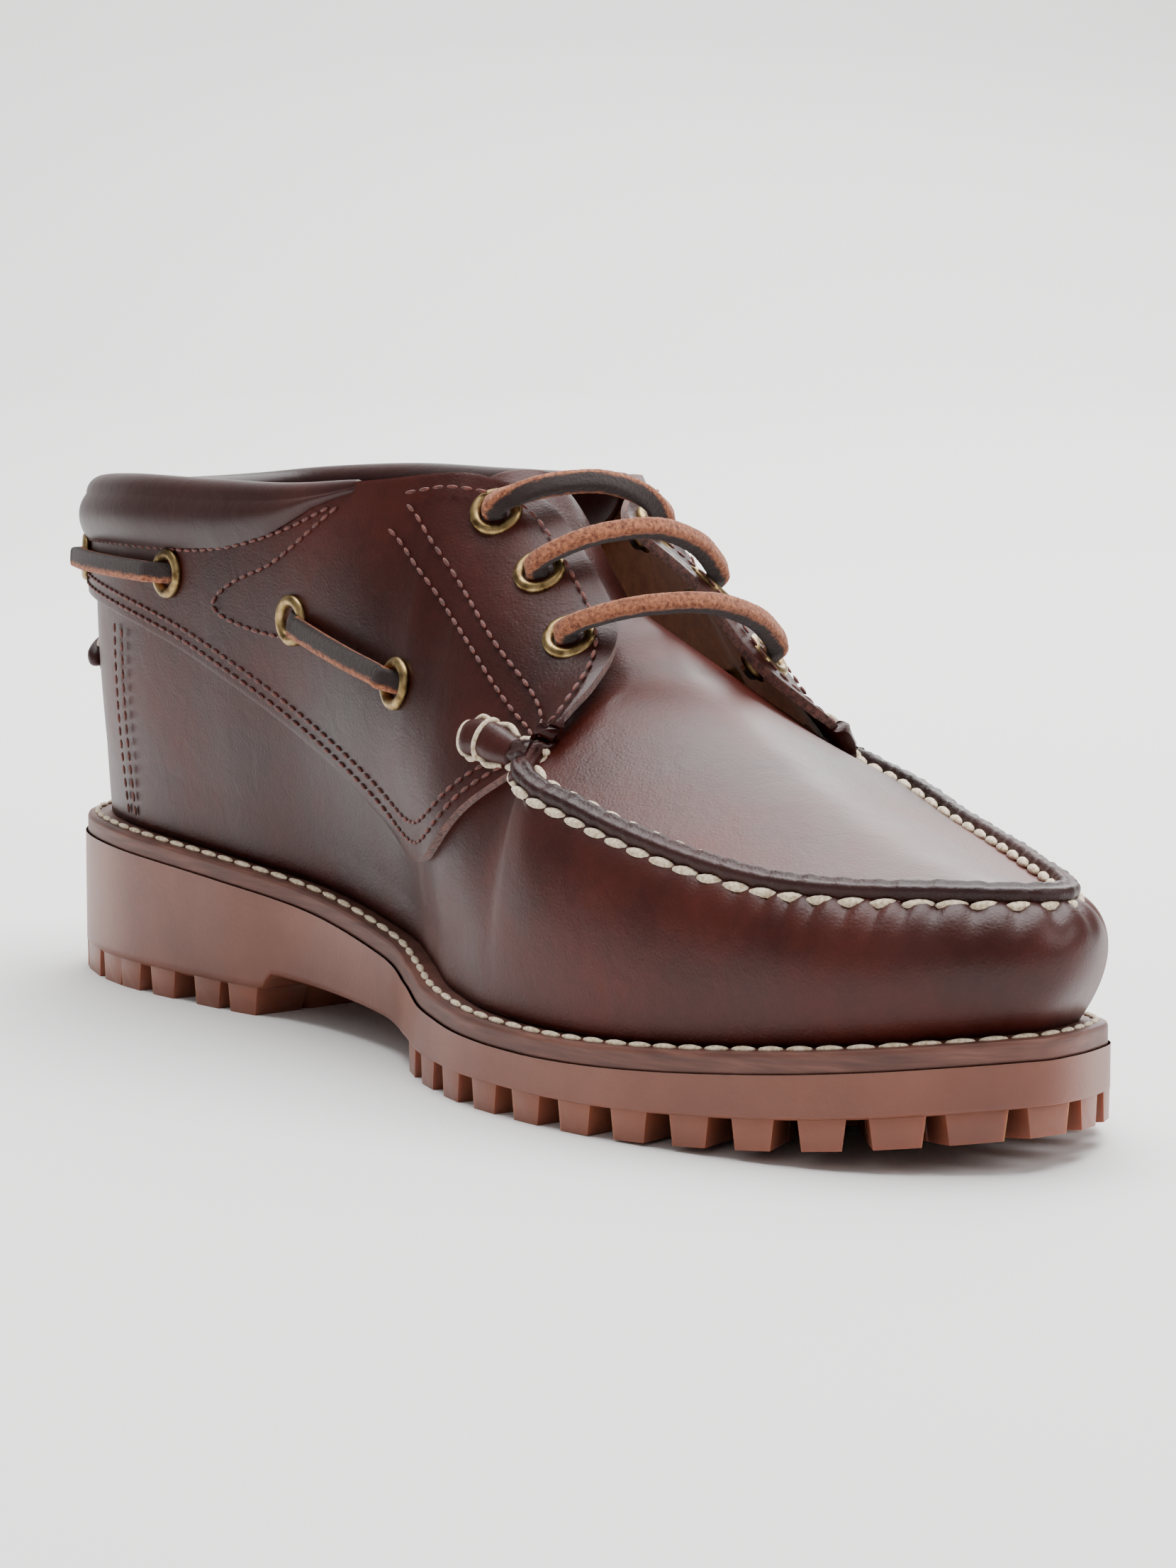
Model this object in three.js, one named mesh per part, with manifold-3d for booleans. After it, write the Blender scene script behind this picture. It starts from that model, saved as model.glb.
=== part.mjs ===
// A left boat shoe: a hollow moccasin upper on a midsole and a lugged gum outsole.
// Millimetres, +X to the toe, +Y to the outer side of the foot, +Z up.
// The shoe is drawn with the back of its heel at x = 0 and the ground at z = 0.

import * as THREE from 'three';
import { mergeVertices } from 'three/addons/utils/BufferGeometryUtils.js';
import Module from 'manifold-3d';

const wasm = await Module();
wasm.setup();

// ---------------------------------------------------------------- driving dimensions

const GAP = 0.35;                 // clearance between two pieces that touch
const WELT_LEDGE = 5.6;           // width of the midsole top left outside the upper
const MIDSOLE_THICKNESS = 4.1;
const MIDSOLE_INSET = 0.6;        // the midsole edge sits inside the gum edge
const INSOLE_THICKNESS = 3.2;
const LEATHER = 2.2;              // thickness of the upper's wall
const APRON_LEATHER = 2.0;
const RIDGE_RADIUS = 2.0;         // the raised moccasin seam
const TONGUE_THICKNESS = 2.2;
const LUG_DEPTH = 5.3;
const WAIST_CLEARANCE = 8.8;      // ground to the smooth waist, just ahead of the heel
const TOE_SPRING = 6.2;
const TOE_SPRING_START = 222;
const TOE_TIP = 304.8;
const LACE_WIDTH = 3.7;
const LACE_THICKNESS = 3.0;
const LACE_CLEARANCE = 3.8;       // from the leather to the middle of a lace's end
const EYELET_OUTER = 5.0;         // flange radius
const EYELET_BORE = 2.75;         // radius of the hole that the lace runs in
const EYELET_BARREL = 3.3;
const EYELET_HEIGHT = 0.65;       // underside of the flange above the leather
const FLANGE_THICKNESS = 0.9;

const RING_STEPS = 2;             // mesh steps between two sections round the shoe
const WALL_STEPS = 7;             // mesh steps up the wall
const APRON_STEPS = 8;            // mesh steps across the apron

// Sections round the last. foot is the sole edge; rim is the top of the wall, which is
// the collar at the back, the front edge of the eyelet flap, and then the moccasin seam.
// swell bows the wall out low down, roll and drop bow it below the rim.
const SECTIONS = [
  { x: 4, inner: -18, outer: 19, rimX: 8.5, rimInner: -15.5, rimOuter: 16.5, innerZ: 101, outerZ: 101,
    swell: 2.5, innerRoll: 2.5, outerRoll: 2.5, drop: 16 },
  { x: 18, inner: -31, outer: 31, rimX: 20, rimInner: -27.5, rimOuter: 29, innerZ: 102.5, outerZ: 102.5,
    swell: 3, innerRoll: 3, outerRoll: 3.5, drop: 16 },
  { x: 45, inner: -37.8, outer: 37, rimX: 46, rimInner: -34, rimOuter: 36, innerZ: 104.5, outerZ: 104.5,
    swell: 4, innerRoll: 3, outerRoll: 3.5, drop: 18 },
  { x: 80, inner: -36, outer: 39, rimX: 79, rimInner: -34, rimOuter: 37, innerZ: 105, outerZ: 105,
    swell: 6, innerRoll: 3, outerRoll: 3.5, drop: 18 },
  { x: 110, inner: -31.5, outer: 42.3, rimX: 107, rimInner: -32, rimOuter: 35.5, innerZ: 106, outerZ: 106,
    swell: 8, innerRoll: 4, outerRoll: 4, drop: 20 },
  { x: 140, inner: -33.5, outer: 45.2, rimX: 133, rimInner: -27.5, rimOuter: 30, innerZ: 108.5, outerZ: 107.5,
    swell: 8.5, innerRoll: 8, outerRoll: 8, drop: 20 },
  { x: 158, inner: -39.5, outer: 48, rimX: 150, rimInner: -18.5, rimOuter: 18.5, innerZ: 110, outerZ: 107,
    swell: 7.5, innerRoll: 14, outerRoll: 14, drop: 12 },
  { x: 172, inner: -45.5, outer: 50.5, rimX: 161.5, rimInner: -10, rimOuter: 8.6, innerZ: 105.2,
    outerZ: 100.5, swell: 6.5, innerRoll: 19, outerRoll: 18, drop: 7 },
  { x: 182, inner: -48.5, outer: 52, rimX: 178, rimInner: -10.6, rimOuter: 12, innerZ: 94, outerZ: 89.5,
    swell: 6, innerRoll: 20, outerRoll: 18, drop: 7 },
  { x: 192, inner: -51, outer: 52.4, rimX: 192, rimInner: -14.2, rimOuter: 15.8, innerZ: 81.5, outerZ: 75,
    swell: 5.5, innerRoll: 19, outerRoll: 16, drop: 6 },
  { x: 200, inner: -52, outer: 52.4, rimX: 199.5, rimInner: -27.5, rimOuter: 27, innerZ: 70.5, outerZ: 63.5,
    swell: 5, innerRoll: 12, outerRoll: 9, drop: 6 },
  { x: 208, inner: -52.3, outer: 51.8, rimX: 198.5, rimInner: -40.3, rimOuter: 37, innerZ: 60, outerZ: 57,
    swell: 4.5, innerRoll: 7, outerRoll: 4, drop: 4 },
  { x: 223, inner: -51.8, outer: 49.6, rimX: 216, rimInner: -41, rimOuter: 35.8, innerZ: 55, outerZ: 54,
    swell: 4, innerRoll: 6.5, outerRoll: 2, drop: 3 },
  { x: 242, inner: -48.8, outer: 45.4, rimX: 238, rimInner: -38.5, rimOuter: 30.8, innerZ: 50.2, outerZ: 50,
    swell: 4, innerRoll: 6.5, outerRoll: 2, drop: 3 },
  { x: 262, inner: -43, outer: 37.4, rimX: 259, rimInner: -33.6, rimOuter: 24.4, innerZ: 46.7, outerZ: 47.8,
    swell: 4, innerRoll: 7, outerRoll: 3, drop: 3 },
  { x: 280, inner: -35.8, outer: 28.8, rimX: 276, rimInner: -26.6, rimOuter: 18, innerZ: 45.9, outerZ: 46.3,
    swell: 6, innerRoll: 8, outerRoll: 7, drop: 3 },
  { x: 294, inner: -25, outer: 17.4, rimX: 291, rimInner: -14.6, rimOuter: 11.5, innerZ: 46.2, outerZ: 45,
    swell: 7.5, innerRoll: 8.5, outerRoll: 9, drop: 3 },
];
const HEEL = { x: 0, y: 0, rimX: 5, rimY: 0, rimZ: 100.5, swell: 2.5, roll: 2, drop: 16 };
const TOE = { x: TOE_TIP, y: -4, rimX: 298.5, rimY: 1.2, rimZ: 45.5, swell: 8.5, roll: 9.5, drop: 3 };
const SEAM_START = 12;            // the section, counted from the heel, where the seam begins

// Height of the midsole's top, from heel to toe.
const MIDSOLE_TOP = [
  { x: 0, z: 33 }, { x: 40, z: 32.5 }, { x: 80, z: 30 }, { x: 110, z: 26.5 }, { x: 140, z: 22 },
  { x: 170, z: 18 }, { x: 200, z: 16.2 }, { x: 225, z: 16 }, { x: 250, z: 17.2 }, { x: 275, z: 19.5 },
  { x: 304, z: 23 },
];

// Height of the apron along its middle, from its free back edge to the toe.
const APRON_CROWN = [
  { x: 178, z: 86.5 }, { x: 187, z: 83 }, { x: 195, z: 79 }, { x: 205, z: 74.8 }, { x: 218, z: 69.6 },
  { x: 230, z: 64.8 }, { x: 242, z: 60 }, { x: 262, z: 53.4 }, { x: 280, z: 49 }, { x: 298, z: 46 },
];
const CROWN_SHARE = 0.44;         // the crown's place across the apron, nearer the inner side
const INNER_ROUND = 0.4;          // how rounded the apron is from its crown to each edge
const OUTER_ROUND = 0.12;
// The apron behind the start of the seam, where it lies free under the eyelet flaps.
// tilt lifts its inner edge and lowers its outer edge.
const APRON_BACK = [
  { x: 178, half: 20, z: 74, tilt: 4 }, { x: 185, half: 27, z: 68, tilt: 3 },
  { x: 192, half: 34, z: 62, tilt: 2 },
];

// Cross-sections of the tongue, from under the apron to its round top.
const TONGUE_SECTIONS = [
  { x: 206, middle: -5, z: 67.5, half: 10, drop: 5 }, { x: 193, middle: -4, z: 72.5, half: 12, drop: 8 },
  { x: 181, middle: -3, z: 79, half: 13, drop: 12 }, { x: 170, middle: -3, z: 87, half: 13.5, drop: 15 },
  { x: 160, middle: -4, z: 97.5, half: 14, drop: 16 }, { x: 151, middle: -5, z: 107.5, half: 13, drop: 11 },
  { x: 148, middle: -6, z: 110.8, half: 9, drop: 3 },
];

// Eyelets: section is the place round the ring, rise the share of the wall's height.
const THROAT_EYELETS = [
  { name: 'top', section: 7.75, rise: 0.88 },
  { name: 'middle', section: 8.75, rise: 0.86 },
  { name: 'bottom', section: 9.65, rise: 0.85 },
];
const SIDE_EYELETS = [
  { name: 'a', inner: 6.8, outer: 7.4, rise: 0.47 },
  { name: 'b', inner: 5.1, outer: 5.1, rise: 0.62 },
  { name: 'c', inner: 3.6, outer: 3.6, rise: 0.7 },
  { name: 'd', inner: 2, outer: 2, rise: 0.72 },
];

// Tread: the inner ends of the forefoot bars, every third bar from the inner side round
// the toe to the outer side. The bars between them lie on the curve through these.
const BAR_ENDS = [
  { x: 176, y: -11.5 }, { x: 206.5, y: -20.5 }, { x: 236, y: -19 }, { x: 259.5, y: -14.5 },
  { x: 270.5, y: -5.5 }, { x: 261, y: 5 }, { x: 238, y: 15.5 }, { x: 208, y: 22.5 }, { x: 175.5, y: 23.5 },
];
const BAR_COUNT = 25;
const BAR_FIRST_X = 166;          // where the forefoot tread begins
const BAR_WIDTH = 8.9;            // at the sole edge
const BAR_INNER_WIDTH = 5.4;      // at the inner end, before the narrowing at the toe
const TOE_BAR_NARROWING = 1.8;
const BAR_DRAFT = 0.7;            // how much a bar narrows towards the ground
const LUG_OVERLAP = 0.6;          // how far a lug reaches up into the sole
const HEEL_BAR_WIDTH = 9;
const HEEL_BAR_INNER_WIDTH = 6.5;
const HEEL_BARS = [
  { side: 'outer', edgeX: 87, innerX: 85.5, innerY: 14 },
  { side: 'outer', edgeX: 73.5, innerX: 75, innerY: 13.2 },
  { side: 'outer', edgeX: 57.5, innerX: 61, innerY: 13.2 },
  { side: 'outer', edgeX: 43, innerX: 51.5, innerY: 13.2 },
  { side: 'inner', edgeX: 90, innerX: 87.5, innerY: -7 },
  { side: 'inner', edgeX: 78, innerX: 77.5, innerY: -7 },
  { side: 'inner', edgeX: 62, innerX: 62.5, innerY: -7.5 },
  { side: 'inner', edgeX: 48.5, innerX: 52, innerY: -8 },
];
// The fan of wedges round the back of the heel.
const FAN_CENTRE = { x: 42, y: 0.5 };
const FAN_WEDGES = 9;
const FAN_SWEEP = 196;            // degrees
const FAN_HOLLOW = 12;            // radius of the smooth recess
const FAN_REACH = 60;             // past the sole edge, where the wedges are cut off
const FLOWER_RADIUS = 4.9;
const FLOWER_PETAL = 1.7;         // how far the four petals stand out
const FLOWERS = [
  { x: 255.5, y: -8 }, { x: 241, y: -1.5 }, { x: 220, y: 4.5 }, { x: 226, y: -12 }, { x: 195.5, y: 9 },
  { x: 204, y: -7 }, { x: 175.5, y: 3.5 }, { x: 78.5, y: 3 }, { x: 52, y: 2 },
];
const BREAST = [{ x: 96, y: 50 }, { x: 94, y: 42 }, { x: 91, y: 7 }, { x: 97.5, y: -28 }, { x: 99, y: -50 }];

// ---------------------------------------------------------------- ring curves

function byHeight(rows) {
  const curve = new THREE.CatmullRomCurve3(rows.map((row) => new THREE.Vector3(row.x, 0, row.z)));
  const samples = curve.getPoints(200);
  return (x) => {
    let after = samples.findIndex((point) => (point.x - x) * (rows.at(-1).x - rows[0].x) > 0);
    if (after < 0) after = samples.length - 1;
    after = Math.max(after, 1);
    const [a, b] = [samples[after - 1], samples[after]];
    return THREE.MathUtils.mapLinear(x, a.x, b.x, a.z, b.z);
  };
}

const midsoleTop = byHeight(MIDSOLE_TOP);
const apronCrown = byHeight(APRON_CROWN);
const spring = (x) => TOE_SPRING * (Math.max(0, x - TOE_SPRING_START) / (TOE_TIP - TOE_SPRING_START)) ** 2;

// A closed curve through a point at the heel, the inner side, the toe and the outer side.
function ring(heel, toe, inner, outer) {
  const points = [heel, ...SECTIONS.map(inner), toe, ...SECTIONS.map(outer).reverse()];
  return new THREE.CatmullRomCurve3(points.map((p) => new THREE.Vector3(...p)), true, 'catmullrom');
}

const SPAN = SECTIONS.length + 1;             // sections from the heel to the toe
const RING = 2 * SPAN;                        // and all the way round
const at = (curve, u) => curve.getPoint((((u % RING) + RING) % RING) / RING);

const footRing = ring([HEEL.x, HEEL.y, 0], [TOE.x, TOE.y, 0],
  (s) => [s.x, s.inner, 0], (s) => [s.x, s.outer, 0]);
const rimRing = ring([HEEL.rimX, HEEL.rimY, HEEL.rimZ], [TOE.rimX, TOE.rimY, TOE.rimZ],
  (s) => [s.rimX, s.rimInner, s.innerZ], (s) => [s.rimX, s.rimOuter, s.outerZ]);
const bowRing = ring([HEEL.swell, HEEL.roll, HEEL.drop], [TOE.swell, TOE.roll, TOE.drop],
  (s) => [s.swell, s.innerRoll, s.drop], (s) => [s.swell, s.outerRoll, s.drop]);

// The outward direction in plan, square to the sole edge.
function outward(u) {
  const along = at(footRing, u + 0.02).sub(at(footRing, u - 0.02)).normalize();
  return new THREE.Vector3(along.y, -along.x, 0);
}

// The sole edge moved inwards by a distance.
function edge(u, inset) {
  return at(footRing, u).addScaledVector(outward(u), -inset);
}

// A point of the upper's outer face: u goes round the shoe, v from the sole to the rim.
function wall(u, v) {
  const out = outward(u);
  const foot = edge(u, WELT_LEDGE);
  foot.z = midsoleTop(foot.x) + GAP;
  const rim = at(rimRing, u);
  const bow = at(bowRing, u);
  const height = rim.z - foot.z;
  const low = foot.clone().addScaledVector(out, bow.x);
  low.z += 0.42 * height;
  const high = rim.clone().addScaledVector(out, bow.y);
  high.z -= bow.z;
  return new THREE.CubicBezierCurve3(foot, low, high, rim).getPoint(v);
}

function wallNormal(u, v) {
  const alongRing = wall(u + 0.05, v).sub(wall(u - 0.05, v));
  const upWall = wall(u, Math.min(v + 0.02, 1)).sub(wall(u, Math.max(v - 0.02, 0)));
  return alongRing.cross(upWall).normalize();
}

// ---------------------------------------------------------------- solids

function geometryFrom(points, triangles) {
  const geometry = new THREE.BufferGeometry();
  const numbers = points.flatMap((p) => [p.x, p.y, p.z]);
  geometry.setAttribute('position', new THREE.Float32BufferAttribute(numbers, 3));
  geometry.setIndex(triangles);
  return geometry;
}

function solid(geometry) {
  const plain = geometry.clone();
  plain.deleteAttribute('normal');
  plain.deleteAttribute('uv');
  const merged = mergeVertices(plain, 1e-4);
  return new wasm.Manifold(new wasm.Mesh({
    numProp: 3,
    vertProperties: new Float32Array(merged.attributes.position.array),
    triVerts: new Uint32Array(merged.index.array),
  }));
}

// Fills any sealed pocket left between pieces that were joined.
function filled(manifold) {
  return wasm.Manifold.compose(manifold.decompose().filter((piece) => piece.volume() > 0));
}

function geometryOf(manifold) {
  const mesh = manifold.getMesh();
  const geometry = new THREE.BufferGeometry();
  geometry.setAttribute('position', new THREE.BufferAttribute(mesh.vertProperties, 3));
  geometry.setIndex(new THREE.BufferAttribute(mesh.triVerts, 1));
  geometry.computeVertexNormals();
  return geometry;
}

// A closed sheet from two grids of points, the upper face and the lower face.
// The grid is rows of equal length; closed joins the last row to the first.
function sheet(top, bottom, closed) {
  const rows = top.length;
  const columns = top[0].length;
  const points = [...top.flat(), ...bottom.flat()];
  const under = rows * columns;
  const triangles = [];
  const quad = (a, b, c, d) => triangles.push(a, b, c, a, c, d);
  const steps = closed ? rows : rows - 1;
  for (let i = 0; i < steps; i += 1) {
    const here = i * columns;
    const next = ((i + 1) % rows) * columns;
    for (let j = 0; j < columns - 1; j += 1) {
      quad(here + j, next + j, next + j + 1, here + j + 1);
      quad(under + here + j, under + here + j + 1, under + next + j + 1, under + next + j);
    }
    quad(here, under + here, under + next, next);
    const last = columns - 1;
    quad(here + last, next + last, under + next + last, under + here + last);
  }
  if (!closed) {
    const end = (rows - 1) * columns;
    for (let j = 0; j < columns - 1; j += 1) {
      quad(j, j + 1, under + j + 1, under + j);
      quad(end + j, under + end + j, under + end + j + 1, end + j + 1);
    }
  }
  return solid(geometryFrom(points, triangles));
}

// A plate with the outline of the sole, moved in by inset, between two heights.
function plate(inset, bottom, top) {
  const count = RING * RING_STEPS;
  const outline = Array.from({ length: count }, (_, i) => edge(i / RING_STEPS, inset));
  const points = [];
  for (const height of [bottom, top]) {
    points.push(...outline.map((p) => new THREE.Vector3(p.x, p.y, height(p.x))));
  }
  const triangles = [];
  for (let i = 0; i < count; i += 1) {
    const next = (i + 1) % count;
    triangles.push(i, next, count + next, i, count + next, count + i);
  }
  const half = count / 2;
  for (let i = 0; i < half; i += 1) {
    const corners = [i, i + 1, (count - i - 1) % count, (count - i) % count];
    for (const [a, b, c] of [[0, 1, 2], [0, 2, 3]]) {
      const face = [corners[a], corners[b], corners[c]];
      if (new Set(face).size < 3) continue;
      triangles.push(face[0], face[2], face[1]);
      triangles.push(count + face[0], count + face[1], count + face[2]);
    }
  }
  return solid(geometryFrom(points, triangles));
}

// A block with a top and a bottom outline of the same number of points.
function block(lower, upper) {
  const count = lower.length;
  const points = [...lower, ...upper];
  const triangles = [];
  for (let i = 0; i < count; i += 1) {
    const next = (i + 1) % count;
    triangles.push(i, next, count + next, i, count + next, count + i);
    if (i > 0 && i < count - 1) {
      triangles.push(0, i + 1, i);
      triangles.push(count, count + i, count + i + 1);
    }
  }
  return solid(geometryFrom(points, triangles));
}

// ---------------------------------------------------------------- outsole

const rootHeight = (x) => spring(x) + LUG_DEPTH;

// The underside between the heel and the forefoot rises to the waist.
function waistHeight(x) {
  const fromHeel = THREE.MathUtils.clamp((x - 95) / 70, 0, 1);
  return THREE.MathUtils.lerp(WAIST_CLEARANCE, rootHeight(x), fromHeel);
}

const lugRoot = (x) => waistHeight(x) + LUG_OVERLAP;

// A tread bar from the sole edge inwards, narrower inside and at the ground.
function bar(outer, inner, outerWidth, innerWidth) {
  const along = inner.clone().sub(outer).normalize();
  const across = new THREE.Vector3(-along.y, along.x, 0);
  const corners = [
    { from: outer, side: -outerWidth / 2 }, { from: inner, side: -innerWidth / 2 },
    { from: inner, side: innerWidth / 2 }, { from: outer, side: outerWidth / 2 },
  ];
  const place = (corner, narrower, height) => {
    const side = corner.side - Math.sign(corner.side) * narrower;
    const end = corner.from === inner ? -narrower : 0;
    const p = corner.from.clone().addScaledVector(across, side).addScaledVector(along, end);
    p.z = height(p.x);
    return p;
  };
  const lower = corners.map((corner) => place(corner, BAR_DRAFT, spring));
  const upper = corners.map((corner) => place(corner, 0, lugRoot));
  return block(lower, upper);
}

function flower(centre) {
  const outline = (grow, height) => Array.from({ length: 16 }, (_, i) => {
    const angle = (i / 16) * 2 * Math.PI;
    const radius = grow + FLOWER_RADIUS + FLOWER_PETAL * Math.cos(4 * angle);
    const x = centre.x + radius * Math.cos(angle);
    const y = centre.y + radius * Math.sin(angle);
    return new THREE.Vector3(x, y, height(x));
  });
  return block(outline(-BAR_DRAFT, spring), outline(0, lugRoot));
}

// The part of the heel behind its breast line, between two heights.
function heelRegion(low, high) {
  const outline = [{ x: -10, y: -60 }, ...BREAST.toReversed(), { x: -10, y: 60 }];
  const level = (z) => outline.map((p) => new THREE.Vector3(p.x, p.y, z));
  return block(level(low), level(high));
}

// The heel's rear tread: wedges parted by narrow radial grooves round a smooth recess.
function heelFan() {
  const sweep = THREE.MathUtils.degToRad(FAN_SWEEP);
  const wedgeShare = 0.88;
  const parts = [];
  for (let i = 0; i < FAN_WEDGES; i += 1) {
    const middle = Math.PI + sweep * ((i + 0.5) / FAN_WEDGES - 0.5);
    const half = (sweep * wedgeShare) / FAN_WEDGES / 2;
    const level = (narrower, z) => {
      const corners = [[-1, FAN_HOLLOW], [-1, FAN_REACH], [1, FAN_REACH], [1, FAN_HOLLOW]];
      return corners.map(([side, radius]) => {
        const angle = middle + side * (half - narrower / radius);
        const x = FAN_CENTRE.x + radius * Math.cos(angle);
        return new THREE.Vector3(x, FAN_CENTRE.y + radius * Math.sin(angle), z);
      });
    };
    parts.push(block(level(BAR_DRAFT / 2, 0), level(0, LUG_DEPTH + LUG_OVERLAP)));
  }
  return wasm.Manifold.union(parts);
}

function forefootBars() {
  const count = 160;
  const start = 7;
  const overhang = 4;
  const reach = RING - 2 * start;
  const outline = Array.from({ length: count + 1 }, (_, i) => edge(start + (i / count) * reach, 0));
  const inner = outline.findIndex((p) => p.x > BAR_FIRST_X);
  const outer = outline.findLastIndex((p) => p.x > BAR_FIRST_X);
  const route = new THREE.CatmullRomCurve3(outline.slice(inner, outer + 1));
  const endPoints = BAR_ENDS.map((p) => new THREE.Vector3(p.x, p.y, 0));
  const ends = new THREE.CatmullRomCurve3(endPoints, false, 'catmullrom');
  return Array.from({ length: BAR_COUNT }, (_, i) => {
    const share = i / (BAR_COUNT - 1);
    const middle = 1 - Math.abs(2 * share - 1);
    const from = route.getPointAt(share);
    const to = ends.getPoint(share);
    const outwards = from.clone().sub(to).normalize();
    from.addScaledVector(outwards, overhang);
    return bar(from, to, BAR_WIDTH, BAR_INNER_WIDTH - TOE_BAR_NARROWING * middle);
  });
}

function heelBars() {
  return HEEL_BARS.map((row) => {
    const outerY = row.side === 'outer' ? 46 : -42;
    const from = new THREE.Vector3(row.edgeX, outerY, 0);
    const to = new THREE.Vector3(row.innerX, row.innerY, 0);
    return bar(from, to, HEEL_BAR_WIDTH, HEEL_BAR_INNER_WIDTH);
  });
}

function outsole() {
  const body = plate(0, waistHeight, (x) => midsoleTop(x) - MIDSOLE_THICKNESS);
  const heelSeat = plate(0, () => LUG_DEPTH, () => WAIST_CLEARANCE + 1).intersect(heelRegion(0, 20));
  const lugs = wasm.Manifold.union([...forefootBars(), ...heelBars(), heelFan(), ...FLOWERS.map(flower)]);
  const trimmed = lugs.intersect(plate(0.4, () => -1, () => 40));
  const ground = trimmed.subtract(heelRegion(-5, -0.001));
  return body.add(heelSeat).add(ground);
}

// ---------------------------------------------------------------- upper

function wallRing() {
  const top = [];
  const bottom = [];
  for (let i = 0; i < RING * RING_STEPS; i += 1) {
    const u = i / RING_STEPS;
    const shares = Array.from({ length: WALL_STEPS + 1 }, (_, j) => j / WALL_STEPS);
    top.push(shares.map((v) => wall(u, v)));
    bottom.push(shares.map((v) => {
      const normal = wallNormal(u, v);
      const p = wall(u, v).addScaledVector(normal, -LEATHER);
      if (v === 0) p.z = midsoleTop(p.x) + GAP;
      return p;
    }));
  }
  return sheet(top, bottom, true);
}

// How far the apron has fallen, from 0 at its crown to 1 at its edge.
function fall(share, round) {
  return (Math.hypot(share, round) - round) / (Math.hypot(1, round) - round);
}

// One row of the apron, from its inner edge over the crown to its outer edge.
function apronRow(inner, outer) {
  const crown = inner.clone().lerp(outer, CROWN_SHARE);
  crown.z = Math.max(apronCrown(crown.x), inner.z, outer.z);
  return Array.from({ length: APRON_STEPS + 1 }, (_, j) => {
    const across = j / APRON_STEPS;
    const onInner = across < CROWN_SHARE;
    const edgePoint = onInner ? inner : outer;
    const share = onInner ? 1 - across / CROWN_SHARE : (across - CROWN_SHARE) / (1 - CROWN_SHARE);
    const p = inner.clone().lerp(outer, across);
    p.z = THREE.MathUtils.lerp(crown.z, edgePoint.z, fall(share, onInner ? INNER_ROUND : OUTER_ROUND));
    return p;
  });
}

function apron() {
  const rows = APRON_BACK.map((row) => {
    const inner = new THREE.Vector3(row.x, -row.half, row.z + row.tilt);
    return apronRow(inner, new THREE.Vector3(row.x, row.half, row.z - row.tilt));
  });
  const last = SPAN - 0.34;
  for (let u = SEAM_START; u < last; u += 1 / RING_STEPS) {
    const inner = at(rimRing, u).addScaledVector(outward(u), -0.9);
    const outer = at(rimRing, RING - u).addScaledVector(outward(RING - u), -0.9);
    inner.z -= 0.2;
    outer.z -= 0.2;
    rows.push(apronRow(inner, outer));
  }
  const lower = rows.map((row) => row.map((p) => p.clone().add(new THREE.Vector3(0, 0, -APRON_LEATHER))));
  return sheet(rows, lower, false);
}

// The raised seam where the wall and the apron are sewn together.
function seamRidge() {
  const steps = (RING - 2 * SEAM_START) * RING_STEPS;
  const route = Array.from({ length: steps + 1 }, (_, i) => {
    const u = SEAM_START + i / RING_STEPS;
    const p = at(rimRing, u).addScaledVector(outward(u), -1);
    p.z -= 0.4;
    return p;
  });
  return cord(route, 2 * RIDGE_RADIUS, 2 * RIDGE_RADIUS, steps, 6);
}

// A solid cord with an oval section along a smooth curve.
function cord(route, width, thickness, steps, sides) {
  const section = new THREE.Shape(Array.from({ length: sides }, (_, i) => {
    const angle = ((i + 0.5) / sides) * 2 * Math.PI;
    return new THREE.Vector2((thickness / 2) * Math.cos(angle), (width / 2) * Math.sin(angle));
  }));
  const path = new THREE.CatmullRomCurve3(route);
  return solid(new THREE.ExtrudeGeometry(section, { steps, extrudePath: path, curveSegments: 1 }));
}

function facing(normal) {
  return new THREE.Quaternion().setFromUnitVectors(new THREE.Vector3(0, 1, 0), normal);
}

function eyeletPlaces() {
  const places = [];
  for (const [side, ringPlace] of [['inner', (u) => u], ['outer', (u) => RING - u]]) {
    for (const row of THROAT_EYELETS) {
      places.push({ name: `eyelet_${side}_${row.name}`, u: ringPlace(row.section), v: row.rise });
    }
    for (const row of SIDE_EYELETS) {
      places.push({ name: `eyelet_${side}_side_${row.name}`, u: ringPlace(row[side]), v: row.rise });
    }
  }
  return places.map((place) => ({
    ...place, point: wall(place.u, place.v), normal: wallNormal(place.u, place.v),
  }));
}

function upper(places) {
  const joined = wallRing().add(apron()).add(seamRidge());
  const holes = places.map((place) => {
    const geometry = new THREE.CylinderGeometry(EYELET_BARREL + 2 * GAP, EYELET_BARREL + 2 * GAP, 12, 8);
    geometry.applyQuaternion(facing(place.normal));
    geometry.translate(place.point.x, place.point.y, place.point.z);
    return solid(geometry);
  });
  return filled(joined.subtract(wasm.Manifold.union(holes)));
}

function eyelet(place) {
  const low = -LEATHER - GAP;
  const high = EYELET_HEIGHT;
  const lip = high + FLANGE_THICKNESS;
  const profile = [
    [EYELET_BORE, low], [EYELET_BARREL, low], [EYELET_BARREL, high], [EYELET_OUTER, high],
    [(EYELET_OUTER + EYELET_BORE) / 2, lip], [EYELET_BORE, high], [EYELET_BORE, low],
  ].map(([radius, height]) => new THREE.Vector2(radius, height));
  const geometry = new THREE.LatheGeometry(profile, 8);
  geometry.applyQuaternion(facing(place.normal));
  geometry.translate(place.point.x, place.point.y, place.point.z);
  return solid(geometry);
}

// ---------------------------------------------------------------- tongue and insole

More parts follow.
